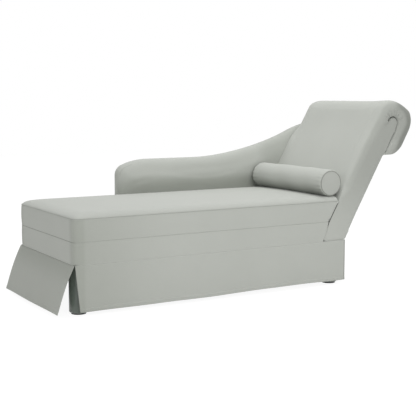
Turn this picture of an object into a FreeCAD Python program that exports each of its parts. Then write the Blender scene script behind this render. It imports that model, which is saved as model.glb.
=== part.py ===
import FreeCAD, Part
import math
import os
from FreeCAD import Vector

# Chaise longue: crowned seat on a boxed base, leaning scroll back, one swept arm, loose bolster and a
# four-panel skirt over round legs. Millimetres. Every piece is drawn with x from the foot end, y from
# the open front side and z from the floor, then moved so that the origin is under the middle.

# Overall form of the base
base_length = 1316.0
base_depth = 612.0
low_line_height = 203.3
mid_seam_height = 291.0
seat_seam_height = 381.5
seat_crown_rise = 20.0
base_corner_radius = 22.0

# Cloth, foam and fits
cloth = 2.0
fit_gap = 0.3
swing_gap = 0.9
wadding = 9.4
overrun = 40.0

# Seat crown: a tight shoulder inside the seams, then one wide arc
shoulder_width = 30.0
shoulder_rise = 16.0
shoulder_bend_share = 0.30
shoulder_lift_share = 0.66

# Base frame
rail_thickness = 22.0
rail_height = 80.0
rail_floor_height = 205.0
head_rail_setback = 134.0
cross_rail_thickness = 20.0
cross_rail_height = 60.0
cross_rail_shares = (0.34, 0.67)
leg_block_thickness = 25.0
leg_block_length = 92.0
leg_block_width = 76.0
dust_cover_thickness = 0.8

# Seat suspension
strap_width = 50.0
strap_thickness = 1.6
strap_pitch = 108.0
lining_thickness = 0.9

# Legs
leg_radius = 38.0
leg_inset_x = 42.0
leg_inset_y = 64.0
leg_edge_ease = 4.0
glide_radius = 30.0
glide_height = 6.0
leg_bolt_radius = 4.0
leg_bolt_length = 80.0
leg_bolt_bury = 55.0
bore_gap = 0.06
nut_barrel_radius = 5.5
nut_flange_radius = 7.5
nut_flange_thickness = 1.6

# Leaning back, measured square to its rear face and along its slope from the heel
back_lean = 30.4
heel_setback = 0.5
back_thickness = 121.0
back_slope_length = 695.0
back_edge_round = 24.0
band_end_setback = 114.0
scroll_reach = 94.0
scroll_hang = 258.2
scroll_front_round = 86.0
scroll_top_round = 88.0
scroll_low_round = 75.0
scroll_crook_round = 8.0
tongue_depth = 59.0
tongue_top_setback = 108.4
post_thickness = 18.0
side_panel_wrap = 11.0
rear_panel_wrap = 8.0
rear_board_thickness = 2.0
front_web_thickness = 1.6
front_strap_width = 50.0
front_strap_clearance = 4.6
front_strap_start = 150.0
front_strap_count = 5
bottom_rail_rise = 60.0
middle_rail_rise = 290.0
back_rail_height = 60.0
back_rail_depth = 22.0
top_rail_height = 70.0
pad_join_setback = 135.0
back_bolt_radius = 4.0
back_bolt_head_radius = 10.0
back_bolt_head_height = 3.0
back_bolt_end = 40.0
back_bolt_pitch = 85.0
back_nut_radius = 9.0
back_nut_height = 6.0

# Arm on the far side
arm_thickness = 66.0
arm_length = 844.0
arm_top_height = 557.0
arm_nose_height = 525.0
arm_nose_slope = 20.0
arm_nose_round = 50.0
arm_brow_round = 310.0
arm_rise_setback = 143.0
arm_rise_slope = 25.0
arm_rise_round = 1290.0
arm_shoulder_overreach = 179.0
arm_shoulder_slope = 10.0
arm_shoulder_round = 480.0
arm_tail_round = 28.5
arm_edge_round = 27.0
arm_board = 18.0
arm_rim_foam = 26.0
arm_inner_foam = 10.0
arm_outer_foam = 4.0
arm_outer_board = 6.0
arm_strut_width = 40.0
arm_strut_shares = (0.06, 0.30, 0.62, 0.86)
arm_bolt_inset = 151.8
arm_bolt_clearance = 30.0
arm_bolt_middle_share = 0.44
arm_bolt_radius = 4.0
arm_bolt_head_radius = 9.0
arm_bolt_head_height = 4.0
arm_nut_radius = 9.0
arm_nut_height = 6.0

# Skirt panels
skirt_thickness = 3.0
skirt_hem_height = 19.0
skirt_corner_gap = 0.8
foot_skirt_swing = 22.0
front_skirt_sweep = 19.0
fold_depth = 3.5
fold_length = 160.0

# Bolster
bolster_radius = 60.0
bolster_length = 566.0
bolster_front_gap = 18.0
bolster_back_gap = 8.0
bolster_end_round = 9.0
bolster_dome = 3.0
zip_length = 420.0
zip_width = 8.0

# Worked-out places
seat_crown_height = seat_seam_height + seat_crown_rise
shoulder_height = seat_seam_height + shoulder_rise
heel_reach = base_length - heel_setback
band_end_reach = base_length - band_end_setback
lean = math.radians(back_lean)
scroll_floor_height = low_line_height + (back_slope_length - scroll_hang) * math.cos(lean)
tongue_centre_rise = back_slope_length - tongue_top_setback
pad_join_rise = back_slope_length - pad_join_setback
front_strap_room = tongue_centre_rise - top_rail_height - front_strap_clearance - front_strap_start
front_strap_pitch = (front_strap_room - front_strap_width) / (front_strap_count - 1)
arm_front = base_length - arm_length
arm_rise_start = base_length - arm_rise_setback
arm_shoulder_reach = base_length + arm_shoulder_overreach
slope = Vector(math.sin(lean), 0, math.cos(lean))
rearward = Vector(math.cos(lean), 0, -math.sin(lean))
heel = Vector(heel_reach, 0, low_line_height)
skirt_top = low_line_height - swing_gap
skirt_hinge_height = skirt_top - skirt_thickness / 2
skirt_drop = skirt_hinge_height - skirt_hem_height
arm_face = base_depth + fit_gap
arm_outer = arm_face + arm_thickness
rail_face = cloth + wadding + 2 * fit_gap
rail_top = rail_floor_height + rail_height
lining_floor = rail_top + strap_thickness
lining_top = lining_floor + lining_thickness
leg_top = rail_floor_height
post_side_cover = rail_face + rail_thickness
rear_stack = cloth + fit_gap + rear_board_thickness
bolster_height = seat_crown_height + fit_gap + bolster_radius
bolster_forward = back_thickness + bolster_back_gap + bolster_radius
bolster_reach = heel_reach + (bolster_height - low_line_height) * math.tan(lean)
bolster_reach = bolster_reach - bolster_forward / math.cos(lean)
edge_rest = back_edge_round - rail_face
edge_recess = back_edge_round - math.sqrt(back_edge_round ** 2 - edge_rest ** 2)
rail_tail = rear_stack + fit_gap + edge_recess
swing = math.radians(foot_skirt_swing)
foot_reach = skirt_drop * math.sin(swing) + skirt_thickness / 2 * math.cos(swing) - skirt_thickness / 2
scroll_turn = back_slope_length - scroll_top_round
scroll_tail = (heel + slope * scroll_turn + rearward * (scroll_reach - scroll_top_round)).x
scroll_tail = scroll_tail + scroll_top_round
origin_shift = Vector((foot_reach - scroll_tail) / 2, -arm_outer / 2, 0)


def lean_point(forward, rise):
    """A point on the back, forward of its rear face and up its slope from the heel, as (x, z)."""
    point = heel + slope * rise - rearward * forward
    return (point.x, point.z)


def rise_at(forward, height):
    """How far up the slope a line forward of the rear face meets a height above the floor."""
    return (height - low_line_height - forward * math.sin(lean)) / math.cos(lean)


def inset_corners(corners, insets):
    """Corners of an outline, drawn clockwise, after each side moves inward by its own inset."""
    moved = []
    count = len(corners)
    for i in range(count):
        lines = []
        for start in (i - 1, i):
            ax, az = corners[start]
            bx, bz = corners[(start + 1) % count]
            length = math.hypot(bx - ax, bz - az)
            dx, dz = (bx - ax) / length, (bz - az) / length
            shift = insets[start]
            lines.append((ax + dz * shift, az - dx * shift, dx, dz))
        (px, pz, dx, dz), (qx, qz, ex, ez) = lines
        along = ((qx - px) * ez - (qz - pz) * ex) / (dx * ez - dz * ex)
        moved.append((px + dx * along, pz + dz * along))
    return moved


def rounded_wire(corners, radii, lift):
    """A closed wire through the corners, each rounded by its radius with a tangent arc."""
    count = len(corners)
    runs = []
    for i in range(count):
        ax, az = corners[i - 1]
        bx, bz = corners[i]
        cx, cz = corners[(i + 1) % count]
        back = math.hypot(ax - bx, az - bz)
        ahead = math.hypot(cx - bx, cz - bz)
        ux, uz = (ax - bx) / back, (az - bz) / back
        vx, vz = (cx - bx) / ahead, (cz - bz) / ahead
        half = math.acos(max(-1, min(1, ux * vx + uz * vz))) / 2
        radius = radii[i]
        if radius <= 0:
            runs.append(((bx, bz), None, (bx, bz)))
            continue
        reach = radius / math.tan(half)
        wx, wz = ux + vx, uz + vz
        size = math.hypot(wx, wz)
        tip = radius / math.sin(half) - radius
        middle = (bx + wx / size * tip, bz + wz / size * tip)
        runs.append(((bx + ux * reach, bz + uz * reach), middle, (bx + vx * reach, bz + vz * reach)))
    edges = []
    for i in range(count):
        start, middle, end = runs[i]
        if middle is not None:
            edges.append(Part.Arc(lift(*start), lift(*middle), lift(*end)).toShape())
        follow = runs[(i + 1) % count][0]
        if (lift(*end) - lift(*follow)).Length > fit_gap / 100:
            edges.append(Part.LineSegment(lift(*end), lift(*follow)).toShape())
    return Part.Wire(edges)


def across(corners, radii, y0, y1):
    """An outline in x and z, carried across the depth from y0 to y1."""
    wire = rounded_wire(corners, radii, lambda x, z: Vector(x, y0, z))
    return Part.Face(wire).extrude(Vector(0, y1 - y0, 0))


def upright(corners, radii, z0, z1):
    """An outline in x and y, carried up from z0 to z1."""
    wire = rounded_wire(corners, radii, lambda x, y: Vector(x, y, z0))
    return Part.Face(wire).extrude(Vector(0, 0, z1 - z0))


def block(x0, x1, y0, y1, z0, z1):
    """A straight block between its six faces."""
    return Part.makeBox(x1 - x0, y1 - y0, z1 - z0, Vector(x0, y0, z0))


def rod(radius, start, direction, length):
    """A straight round rod."""
    return Part.makeCylinder(radius, length, start, direction)


def round_ends(body, y0, y1, radius, keep):
    """Rounds the edges that lie in the two end planes, but for those that keep names."""
    edges = []
    for edge in body.Edges:
        low, high = edge.BoundBox.YMin, edge.BoundBox.YMax
        flat = high - low < fit_gap
        at_end = min(abs(low - y0), abs(low - y1)) < fit_gap
        if flat and at_end and not keep(edge):
            edges.append(edge)
    return body.makeFillet(radius, edges)


def leaning_strip(forward0, forward1, rise0, rise1, y0, y1):
    """A block that leans with the back."""
    corners = [lean_point(forward1, rise0), lean_point(forward1, rise1)]
    corners += [lean_point(forward0, rise1), lean_point(forward0, rise0)]
    return across(corners, [0] * len(corners), y0, y1)


# Seat


def seat_block(inset, floor):
    """The crowned seat, from its floor up, with its head end cut along the back's slope."""
    side = inset
    seam = seat_seam_height - inset / 2
    shoulder = shoulder_height - inset
    crown = seat_crown_height - inset
    bend = shoulder_width * shoulder_bend_share
    lift = (shoulder - seam) * shoulder_lift_share
    far = base_depth - inset
    far_end = base_length + overrun

    def cross(y, z):
        return Vector(-overrun, y, z)

    def along(x, z):
        return Vector(x, -overrun, z)

    section = [
        Part.LineSegment(cross(side, floor), cross(side, seam)).toShape(),
        Part.Arc(cross(side, seam), cross(side + bend, seam + lift),
                 cross(side + shoulder_width, shoulder)).toShape(),
        Part.Arc(cross(side + shoulder_width, shoulder), cross(base_depth / 2, crown),
                 cross(far - shoulder_width, shoulder)).toShape(),
        Part.Arc(cross(far - shoulder_width, shoulder), cross(far - bend, seam + lift),
                 cross(far, seam)).toShape(),
        Part.LineSegment(cross(far, seam), cross(far, floor)).toShape(),
        Part.LineSegment(cross(far, floor), cross(side, floor)).toShape(),
    ]
    body = Part.Face(Part.Wire(section)).extrude(Vector(far_end + 2 * overrun, 0, 0))
    top = seat_crown_height + overrun
    profile = [
        Part.LineSegment(along(side, floor), along(side, seam)).toShape(),
        Part.Arc(along(side, seam), along(side + bend, seam + lift),
                 along(side + shoulder_width, shoulder)).toShape(),
        Part.Arc(along(side + shoulder_width, shoulder),
                 along(side + 2 * shoulder_width, (shoulder + crown) / 2 + (crown - shoulder) / 4),
                 along(side + 4 * shoulder_width, crown)).toShape(),
        Part.LineSegment(along(side + 4 * shoulder_width, crown), along(far_end, crown)).toShape(),
        Part.LineSegment(along(far_end, crown), along(far_end, floor)).toShape(),
        Part.LineSegment(along(far_end, floor), along(side, floor)).toShape(),
    ]
    lengthwise = Part.Face(Part.Wire(profile)).extrude(Vector(0, base_depth + 2 * overrun, 0))
    body = body.common(lengthwise)
    corner = base_corner_radius - inset
    plan = upright([(side, side), (side, far), (far_end, far), (far_end, side)],
                   [corner, corner, 0, 0], floor, top)
    body = body.common(plan)
    end = back_thickness + 2 * fit_gap + inset
    behind = leaning_strip(-overrun - scroll_reach, end, -back_slope_length, back_slope_length,
                           -overrun, base_depth + overrun)
    return body.cut(behind)


def seat_cover():
    """Top panel and boxing in one shell, open below."""
    return seat_block(0, mid_seam_height + fit_gap).cut(seat_block(cloth, mid_seam_height - overrun))


def seat_foam():
    """The crowned foam on the lining."""
    return seat_block(cloth + fit_gap, lining_top + fit_gap)


def seat_webbing():
    """Straps across the side rails."""
    straps = []
    start = rail_face + rail_thickness + strap_pitch / 2
    stop = base_length - head_rail_setback - rail_thickness - strap_width
    while start + strap_width < stop:
        straps.append(block(start, start + strap_width, rail_face, base_depth - rail_face,
                            rail_top, rail_top + strap_thickness))
        start = start + strap_pitch
    return Part.Compound(straps)


def seat_lining():
    """The cloth that lies on the straps and is tacked round the rails."""
    return block(rail_face, base_length - head_rail_setback, rail_face, base_depth - rail_face,
                 lining_floor, lining_top)


# Base frame


def band_end(height, inset):
    """How far the base's band reaches at a height, where the back's lower end leans on it."""
    top_reach = lean_point(back_thickness + 2 * fit_gap, rise_at(back_thickness, mid_seam_height))[0]
    share = (height - low_line_height) / (mid_seam_height - low_line_height)
    return band_end_reach + (top_reach - band_end_reach) * share - inset


def base_cover():
    """The cloth band round the base, open above, below and at the back."""
    low, high = low_line_height, mid_seam_height
    far_end = base_length + overrun
    shells = []
    for inset in (0, cloth):
        corner = base_corner_radius - inset
        far = base_depth - inset
        shells.append(upright([(inset, inset), (inset, far), (far_end, far), (far_end, inset)],
                              [corner, corner, 0, 0], low, high))
    ring = shells[0].cut(shells[1])
    side = [(band_end(low, 0), low), (band_end(high, 0), high), (far_end + overrun, high),
            (far_end + overrun, low)]
    return ring.cut(across(side, [0] * len(side), -overrun, base_depth + overrun))


def wadding_panels():
    """Three panels between the rails and the cloth; the side ones go on within the back's lower end."""
    low, high = rail_floor_height, rail_top + lining_thickness
    inner = cloth + fit_gap
    outer = inner + wadding
    far = base_depth - inner
    side = [(outer + fit_gap, low), (outer + fit_gap, high), (band_end(high, fit_gap), high),
            (band_end(low, fit_gap), low)]
    square = [0] * len(side)
    corner = base_corner_radius - inner
    end = 2 * base_length
    plan = upright([(inner, inner), (inner, far), (end, far), (end, inner)],
                   [corner, corner, 0, 0], low, high)
    foot = upright([(inner, inner), (inner, far), (outer, far), (outer, inner)],
                   [0, 0, 0, 0], low, high).common(plan)
    tail = [(outer, low), (outer, rail_top), lean_point(rail_tail, rise_at(rail_tail, rail_top)),
            lean_point(rail_tail, rise_at(rail_tail, low))]
    heel_zone = trim_foot(back_form(inner), low, fit_gap)
    panels = []
    for y0, y1 in ((inner, outer), (far - wadding, far)):
        band_part = across(side, square, y0, y1).common(plan)
        heel_part = across(tail, square, y0, y1).common(heel_zone)
        panels.append(Part.Compound([band_part, heel_part]))
    return panels[0], panels[1], foot


def leg_places():
    """Leg names with their centres in plan."""
    places = {}
    for end, x in (("foot", leg_inset_x), ("head", base_length - leg_inset_x)):
        for side, y in (("front", leg_inset_y), ("arm", base_depth - leg_inset_y)):
            places["leg_%s_%s" % (end, side)] = (x, y)
    return places


def base_rails():
    """Side rails, end rails and cross rails, with their bolt holes."""
    near, far = rail_face, base_depth - rail_face
    inner_near, inner_far = near + rail_thickness, far - rail_thickness
    low, high = rail_floor_height, rail_top
    side = [(near, low), (near, high), lean_point(rail_tail, rise_at(rail_tail, high)),
            lean_point(rail_tail, rise_at(rail_tail, low))]
    square = [0] * len(side)
    head = base_length - head_rail_setback
    rails = {
        "front_rail": across(side, square, near, inner_near),
        "arm_side_rail": across(side, square, inner_far, far),
        "foot_rail": block(near, inner_near, inner_near, inner_far, low, high),
        "head_rail": block(head - rail_thickness, head, inner_near, inner_far, low, high),
    }
    for name, share in zip(("foot_cross_rail", "head_cross_rail"), cross_rail_shares):
        x = base_length * share
        rails[name] = block(x, x + cross_rail_thickness, inner_near, inner_far,
                            high - cross_rail_height, high)
    for x, z in back_bolt_places():
        for name, y, way in (("front_rail", near, 1), ("arm_side_rail", far, -1)):
            seat = rod(back_bolt_head_radius + fit_gap, Vector(x, y, z), Vector(0, way, 0),
                       back_bolt_head_height + fit_gap)
            rails[name] = rails[name].cut(seat).cut(back_bolt_bores(back_bolt_radius + bore_gap))
    rails["arm_side_rail"] = rails["arm_side_rail"].cut(arm_bores(arm_bolt_radius + bore_gap))
    return rails


def leg_blocks():
    """Plates in the four corners of the frame, bored for the legs' bolts."""
    near = rail_face + rail_thickness
    far = base_depth - near
    low, high = rail_floor_height, rail_floor_height + leg_block_thickness
    foot, head = near, base_length - rail_face - cloth
    blocks = []
    for x0, x1 in ((foot, foot + leg_block_length), (head - leg_block_length, head)):
        for y0, y1 in ((near, near + leg_block_width), (far - leg_block_width, far)):
            blocks.append(block(x0, x1, y0, y1, low, high))
    body = Part.Compound(blocks)
    for x, y in leg_places().values():
        barrel = rod(nut_barrel_radius + bore_gap, Vector(x, y, low - overrun), Vector(0, 0, 1),
                     leg_block_thickness + 2 * overrun)
        seat = rod(nut_flange_radius + fit_gap, Vector(x, y, high - nut_flange_thickness - fit_gap),
                   Vector(0, 0, 1), overrun)
        body = body.cut(barrel).cut(seat)
    return body


def legs():
    """Four round legs, bevelled at the foot and bored for their bolts."""
    made = {}
    for name, (x, y) in leg_places().items():
        body = rod(leg_radius, Vector(x, y, glide_height), Vector(0, 0, 1), leg_top - glide_height)
        foot = [edge for edge in body.Edges
                if edge.BoundBox.ZMax < glide_height + fit_gap and len(edge.Vertexes) == 1]
        body = body.makeChamfer(leg_edge_ease, foot)
        bore = rod(leg_bolt_radius + bore_gap, Vector(x, y, leg_top - leg_bolt_bury - fit_gap),
                   Vector(0, 0, 1), leg_bolt_bury + overrun)
        made[name] = body.cut(bore)
    return made


def leg_hardware():
    """Glides under the legs, hanger bolts and the flanged nuts in the leg blocks."""
    glides, bolts, nuts = [], [], []
    up = Vector(0, 0, 1)
    block_top = rail_floor_height + leg_block_thickness
    for x, y in leg_places().values():
        glides.append(rod(glide_radius, Vector(x, y, 0), up, glide_height))
        bolts.append(rod(leg_bolt_radius, Vector(x, y, leg_top - leg_bolt_bury), up, leg_bolt_length))
        flange = rod(nut_flange_radius, Vector(x, y, block_top - nut_flange_thickness), up,
                     nut_flange_thickness)
        barrel = rod(nut_barrel_radius, Vector(x, y, rail_floor_height + fit_gap), up,
                     leg_block_thickness - fit_gap)
        bore = rod(leg_bolt_radius + bore_gap, Vector(x, y, rail_floor_height - overrun), up,
                   leg_block_thickness + 2 * overrun)
        nuts.append(flange.fuse(barrel).removeSplitter().cut(bore))
    return Part.Compound(glides), Part.Compound(bolts), Part.Compound(nuts)


def dust_cover():
    """Thin cloth under the frame, with a round hole for each leg."""
    top = rail_floor_height
    body = block(rail_face, base_length - rail_face - cloth, rail_face, base_depth - rail_face,
                 top - dust_cover_thickness, top)
    for x, y in leg_places().values():
        body = body.cut(rod(leg_radius + fit_gap, Vector(x, y, top - overrun), Vector(0, 0, 1),
                            2 * overrun))
    return body


# Back


def back_form(inset):
    """The soft outer form of the back: straight slab below, rolled scroll above, eased at both sides."""
    low_rise = -back_thickness
    crook = rise_at(0, scroll_floor_height)
    tail = rise_at(-scroll_reach, scroll_floor_height)
    corners = [lean_point(back_thickness, low_rise), lean_point(back_thickness, back_slope_length),
               lean_point(-scroll_reach, back_slope_length), lean_point(-scroll_reach, tail),
               lean_point(0, crook), lean_point(0, low_rise)]
    sides = [inset] * len(corners)
    sides[-1] = 0
    corners = inset_corners(corners, sides)
    radii = [0, scroll_front_round - inset, scroll_top_round - inset, scroll_low_round - inset,
             scroll_crook_round + inset, 0]
    near, far = inset, base_depth - inset
    body = across(corners, radii, near, far)
    sole = lean_point(back_thickness / 2, low_rise)

    def lowest(edge):
        middle = edge.BoundBox.Center
        return math.hypot(middle.x - sole[0], middle.z - sole[1]) < back_thickness / 10

    return round_ends(body, near, far, back_edge_round - inset, lowest)


def trim_foot(body, floor, gap):
    """Cuts a form of the back at a floor height and along the end of the base's band."""
    body = body.cut(block(0, 2 * base_length, -overrun, base_depth + overrun, -overrun, floor))
    high, low = mid_seam_height, low_line_height - overrun
    wedge = [(0, low), (0, high), (band_end(high, -gap), high), (band_end(low, -gap), low)]
    return body.cut(across(wedge, [0] * len(wedge), -overrun, base_depth + overrun))


def tongue(gap):
    """The slab that runs up inside the scroll and ends in a half round, all across the depth."""
    near, far = -overrun, base_depth + overrun
    straight = leaning_strip(-gap, tongue_depth + gap, -back_slope_length, tongue_centre_rise, near, far)
    x, z = lean_point(tongue_depth / 2, tongue_centre_rise)
    top = rod(tongue_depth / 2 + gap, Vector(x, near, z), Vector(0, 1, 0), far - near)
    return straight.fuse(top).removeSplitter()


def back_zone(forward0, forward1, rise0, rise1):
    """A leaning zone all across the depth, for cutting."""
    return leaning_strip(forward0, forward1, rise0, rise1, -overrun, base_depth + overrun)


def back_pads():
    """Front pad, scroll pad and the two side pads, each cut from the same soft form."""
    soft = trim_foot(back_form(cloth + fit_gap), rail_top + fit_gap, 2 * fit_gap + cloth)
    low, top = -back_slope_length, back_slope_length
    front_pad = soft.common(back_zone(tongue_depth + fit_gap, back_thickness, low,
                                      pad_join_rise - fit_gap))
    scroll = soft.cut(back_zone(0, 2 * back_thickness, low, pad_join_rise)).cut(tongue(fit_gap))
    rear_of_board = back_zone(-overrun, rear_stack + fit_gap, low,
                              rise_at(0, scroll_floor_height) + scroll_crook_round)
    core = soft.common(tongue(0)).cut(rear_of_board)
    long = 2 * base_length
    near = core.common(block(0, long, 0, post_side_cover - fit_gap, 0, long))
    far = core.common(block(0, long, base_depth - post_side_cover + fit_gap, base_depth, 0, long))
    return front_pad, scroll, near, far


def back_bolt_places():
    """Where the bolts cross side rail and post, as (x, z)."""
    z = rail_floor_height + leg_block_thickness + (rail_height - leg_block_thickness) / 2
    first = base_length - head_rail_setback + back_bolt_end
    return [(first, z), (first + back_bolt_pitch, z)]


def back_bolt_bores(radius):
    """Bores for the back's bolts, all across the depth."""
    bores = [rod(radius, Vector(x, -overrun, z), Vector(0, 1, 0), base_depth + 2 * overrun)
             for x, z in back_bolt_places()]
    return Part.Compound(bores)


def back_frame():
    """Two posts with feet along the side rails, and the rails between them."""
    floor = rail_floor_height + leg_block_thickness
    crook = rise_at(0, scroll_floor_height)
    foot_start = base_length - head_rail_setback
    strip = tongue(0).cut(back_zone(-overrun, rear_stack, -back_slope_length,
                                    crook + scroll_crook_round))
    strip = strip.cut(back_zone(tongue_depth - front_web_thickness, 2 * back_thickness,
                                -back_slope_length, pad_join_rise))
    foot_end = lean_point(tongue_depth / 2, rise_at(tongue_depth / 2, floor))[0]
    foot = block(foot_start, foot_end, -overrun, base_depth + overrun, floor, rail_top)
    side = strip.cut(block(0, 2 * base_length, -overrun, base_depth + overrun, -base_length, floor))
    side = side.fuse(foot).removeSplitter().cut(back_bolt_bores(back_bolt_radius + bore_gap))
    y0, y1 = post_side_cover, post_side_cover + post_thickness
    long = 2 * base_length
    made = {
        "back_post_front": side.common(block(0, long, y0, y1, 0, long)),
        "back_post_arm": side.common(block(0, long, base_depth - y1, base_depth - y0, 0, long)),
    }
    middle = (tongue_depth - back_rail_depth) / 2
    for name, rise in (("back_bottom_rail", bottom_rail_rise), ("back_middle_rail", middle_rail_rise)):
        made[name] = leaning_strip(middle, middle + back_rail_depth, rise, rise + back_rail_height,
                                   y1, base_depth - y1)
    head = tongue(0).common(back_zone(0, tongue_depth, tongue_centre_rise - top_rail_height,
                                      back_slope_length))
    head = head.common(block(0, long, y1, base_depth - y1, 0, long))
    made["back_top_rail"] = head
    return made


def back_skins():
    """Straps before the posts and the board behind them."""
    straps = []
    for i in range(front_strap_count):
        rise = front_strap_start + i * front_strap_pitch
        straps.append(leaning_strip(tongue_depth - front_web_thickness, tongue_depth, rise,
                                    rise + front_strap_width, post_side_cover,
                                    base_depth - post_side_cover))
    soft = trim_foot(back_form(cloth + fit_gap), rail_floor_height, 0)
    board = soft.common(back_zone(0, rear_stack, -back_slope_length,
                                  rise_at(0, scroll_floor_height) - scroll_crook_round))
    return Part.Compound(straps), board


def back_covers():
    """The cloth of the back: front and scroll in one, two side panels, and the rear panel."""
    shell = trim_foot(back_form(0).cut(back_form(cloth)), low_line_height, 2 * fit_gap)
    low, crook = -back_slope_length, rise_at(0, scroll_floor_height)
    side_zone = tongue(0)
    near_zone = side_zone.common(block(0, 2 * base_length, -overrun, side_panel_wrap, 0, base_length))
    far_zone = side_zone.common(block(0, 2 * base_length, base_depth - side_panel_wrap,
                                      base_depth + overrun, 0, base_length))
    rear_zone = back_zone(-cloth, rear_panel_wrap, low, crook - scroll_crook_round)
    rear_zone = rear_zone.common(block(0, 2 * base_length, side_panel_wrap,
                                       base_depth - side_panel_wrap, 0, base_length))
    near = shell.common(near_zone)
    far = shell.common(far_zone)
    rear = shell.common(rear_zone)
    front = shell.cut(near_zone).cut(far_zone).cut(rear_zone)
    inner_front = block(0, heel_reach, rail_face - fit_gap, base_depth - rail_face + fit_gap,
                        0, rail_top + fit_gap)
    inner_front = inner_front.cut(back_zone(-overrun, tongue_depth, low, back_slope_length))
    return front.cut(inner_front), near, far, rear


def back_hardware():
    """Bolts from outside the side rails through the posts, with their nuts."""
    bolts, nuts = [], []
    inner = rail_face + rail_thickness + post_thickness
    for x, z in back_bolt_places():
        for y, way in ((rail_face, 1), (base_depth - rail_face, -1)):
            out = Vector(0, way, 0)
            start = Vector(x, y, z)
            head = rod(back_bolt_head_radius, start, out, back_bolt_head_height)
            length = inner - rail_face + back_nut_height
            bolts.append(head.fuse(rod(back_bolt_radius, start, out, length)).removeSplitter())
            seat = start + out * (inner - rail_face)
            nut = rod(back_nut_radius, seat, out, back_nut_height)
            nuts.append(nut.cut(rod(back_bolt_radius + bore_gap, start, out, 2 * length)))
    return Part.Compound(bolts), Part.Compound(nuts)


# Arm


def arm_corners(inset):
    """The arm's side outline, clockwise from the low front: nose, brow, rise, shoulder and tail."""
    low, top = low_line_height, arm_top_height
    nose = math.tan(math.radians(arm_nose_slope))
    rise = math.tan(math.radians(arm_rise_slope))
    ease = math.tan(math.radians(arm_shoulder_slope))
    brow_x = arm_front + (top - arm_nose_height) / nose
    shoulder_z = top + (arm_shoulder_reach - arm_rise_start) * rise
    tail_x, tail_z = arm_shoulder_reach, shoulder_z
    lean_run = math.tan(lean)
    reach = (heel_reach + (tail_z - low) * lean_run - tail_x) / (1 - ease * lean_run)
    tail_x, tail_z = tail_x + reach, tail_z + reach * ease
    corners = [(arm_front, low), (arm_front, arm_nose_height), (brow_x, top), (arm_rise_start, top),
               (arm_shoulder_reach, shoulder_z), (tail_x, tail_z), (heel_reach, low)]
    sides = [inset] * len(corners)
    sides[-1] = 0
    return inset_corners(corners, sides)


def arm_radii(inset):
    """The radii of the arm's corners after an inset; the hollow of the rise grows, the rest shrink."""
    return [0, arm_nose_round - inset, arm_brow_round - inset, arm_rise_round + inset,
            arm_shoulder_round - inset, max(arm_tail_round - inset, fit_gap), 0]


def arm_form(inset):
    """The soft outer form of the arm."""
    near, far = arm_face + inset, arm_outer - inset
    body = across(arm_corners(inset), arm_radii(inset), near, far)

    def lowest(edge):
        return edge.BoundBox.ZMax < low_line_height + fit_gap

    return round_ends(body, near, far, arm_edge_round - inset, lowest)


def arm_core(inset, y0, y1):
    """The arm's outline drawn in from its cloth, between two depths."""
    radii = [0] + [max(radius, fit_gap) for radius in arm_radii(inset)[1:-1]] + [0]
    return across(arm_corners(inset), radii, y0, y1)


def arm_bolt_places():
    """Where the bolts hold the arm's panel to the side rail, as (x, z)."""
    z = rail_floor_height + rail_height / 2
    first = arm_front + arm_bolt_inset
    last = base_length - head_rail_setback - rail_thickness - arm_bolt_clearance
    return [(first, z), (first + (last - first) * arm_bolt_middle_share, z), (last, z)]


def arm_bores(radius):
    """Bores for the arm's bolts."""
    start = base_depth - rail_face - rail_thickness - overrun
    bores = [rod(radius, Vector(x, start, z), Vector(0, 1, 0), arm_outer - start)
             for x, z in arm_bolt_places()]
    return Part.Compound(bores)


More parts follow.
